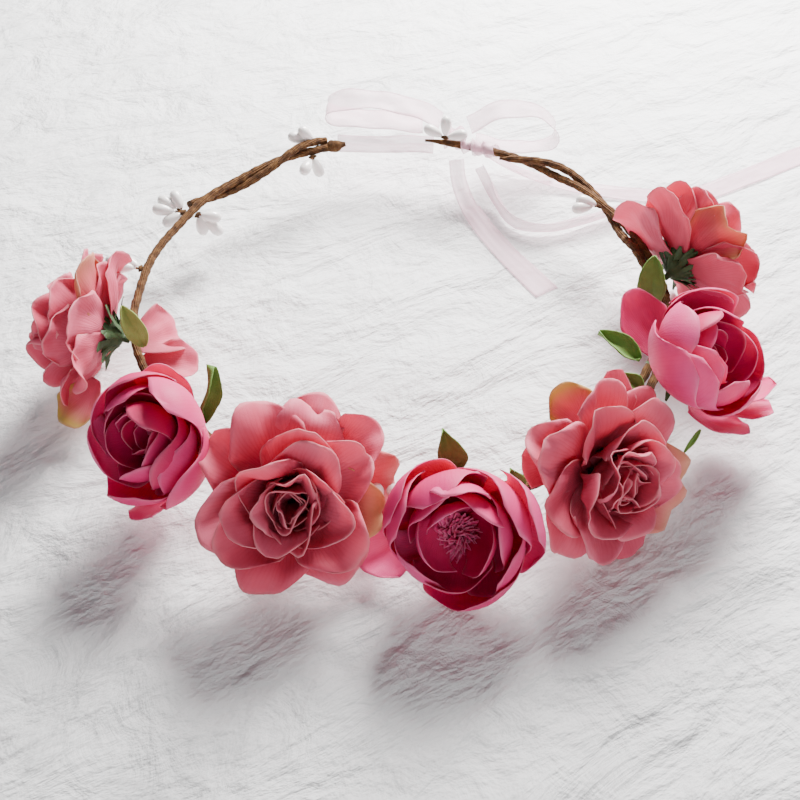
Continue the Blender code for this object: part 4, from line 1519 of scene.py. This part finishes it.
studio = {
    "cameraPlace": (-0.0004, -0.27991, 0.28455),
    "cameraAim": (-0.0004, -0.0237, 0.0),
    "lens": 51.75,
    "sensor": 36.0,
    "tableSize": 3.0,
    "roomColor": (0.93, 0.95, 1.0, 1),
    "roomStrength": 0.25,
}
lamps = {
    "window": {  # low, behind the crown, so that the flowers cast their shadows forward
        "place": (0.16, 0.42, 0.38),
        "aim": (0, 0.03, 0.01),
        "size": 0.30,
        "power": 18.5,
        "color": (1.0, 0.985, 0.97),
    },
    "fill": {
        "place": (0.16, -0.80, 0.36),
        "aim": (0, 0, 0.02),
        "size": 0.6,
        "power": 3.6,
        "color": (1.0, 0.97, 0.96),
    },
}


plasterLook = {
    "color": (0.86, 0.86, 0.865, 1),
    "roughness": 0.9,
    "relief": 0.009,
    "pitShare": 0.35,
    "strokeTurn": 32,  # degrees from the x axis
    "strokeSize": (0.050, 0.022, 0.1),
}


def makeTable():
    material, tree, output = newMaterial("pale plaster")
    place = addNode(tree, "ShaderNodeTexCoord").outputs["Object"]
    rough = addNode(tree, "ShaderNodeTexNoise")
    rough.inputs["Scale"].default_value = 55.0
    rough.inputs["Detail"].default_value = 8.0
    rough.inputs["Roughness"].default_value = 0.55
    rough.inputs["Distortion"].default_value = 0.6
    tree.links.new(place, rough.inputs["Vector"])
    stretch = addNode(tree, "ShaderNodeMapping", vector_type="TEXTURE")
    stretch.inputs["Rotation"].default_value = (0, 0, math.radians(plasterLook["strokeTurn"]))
    stretch.inputs["Scale"].default_value = plasterLook["strokeSize"]
    tree.links.new(place, stretch.inputs["Vector"])
    strokes = addNode(tree, "ShaderNodeTexNoise")
    strokes.inputs["Scale"].default_value = 1.0
    strokes.inputs["Detail"].default_value = 6.0
    strokes.inputs["Roughness"].default_value = 0.55
    strokes.inputs["Distortion"].default_value = 0.35
    tree.links.new(stretch.outputs[0], strokes.inputs["Vector"])
    bump = addNode(tree, "ShaderNodeBump")
    bump.inputs["Strength"].default_value = 1.0
    bump.inputs["Distance"].default_value = plasterLook["relief"]
    pits = mathNode(tree, "MULTIPLY", rough.outputs["Fac"], plasterLook["pitShare"])
    relief = mathNode(tree, "ADD", pits, strokes.outputs["Fac"])
    tree.links.new(relief, bump.inputs["Height"])
    shader = addNode(tree, "ShaderNodeBsdfPrincipled")
    shader.inputs["Base Color"].default_value = plasterLook["color"]
    shader.inputs["Roughness"].default_value = plasterLook["roughness"]
    tree.links.new(bump.outputs[0], shader.inputs["Normal"])
    tree.links.new(shader.outputs[0], output.inputs["Surface"])
    shell = bmesh.new()
    bmesh.ops.create_grid(shell, x_segments=4, y_segments=4, size=studio["tableSize"] / 2)
    table = meshPiece("table", shell, [material])


def addAimed(name, data, place, aim):
    # a lamp or a camera, turned to look from place at aim
    thing = bpy.data.objects.new(name, data)
    bpy.context.scene.collection.objects.link(thing)
    way = Vector(aim) - Vector(place)
    thing.matrix_world = Matrix.Translation(Vector(place)) @ way.to_track_quat("-Z", "Y").to_matrix().to_4x4()
    return thing


def addLamp(name, lamp):
    data = bpy.data.lights.new(name, "AREA")
    data.shape = "DISK"
    data.size = lamp["size"]
    data.energy = lamp["power"]
    data.color = lamp["color"]
    addAimed(name, data, lamp["place"], lamp["aim"])


def makeStudio():
    world = bpy.data.worlds.new("studio")
    world.use_nodes = True
    background = world.node_tree.nodes["Background"]
    background.inputs["Color"].default_value = studio["roomColor"]
    background.inputs["Strength"].default_value = studio["roomStrength"]
    bpy.context.scene.world = world
    for name, lamp in lamps.items():
        addLamp(name, lamp)
    data = bpy.data.cameras.new("camera")
    data.lens = studio["lens"]
    data.sensor_width = studio["sensor"]
    bpy.context.scene.camera = addAimed("camera", data, studio["cameraPlace"], studio["cameraAim"])


makeTable()
makeStudio()
print("studio made")
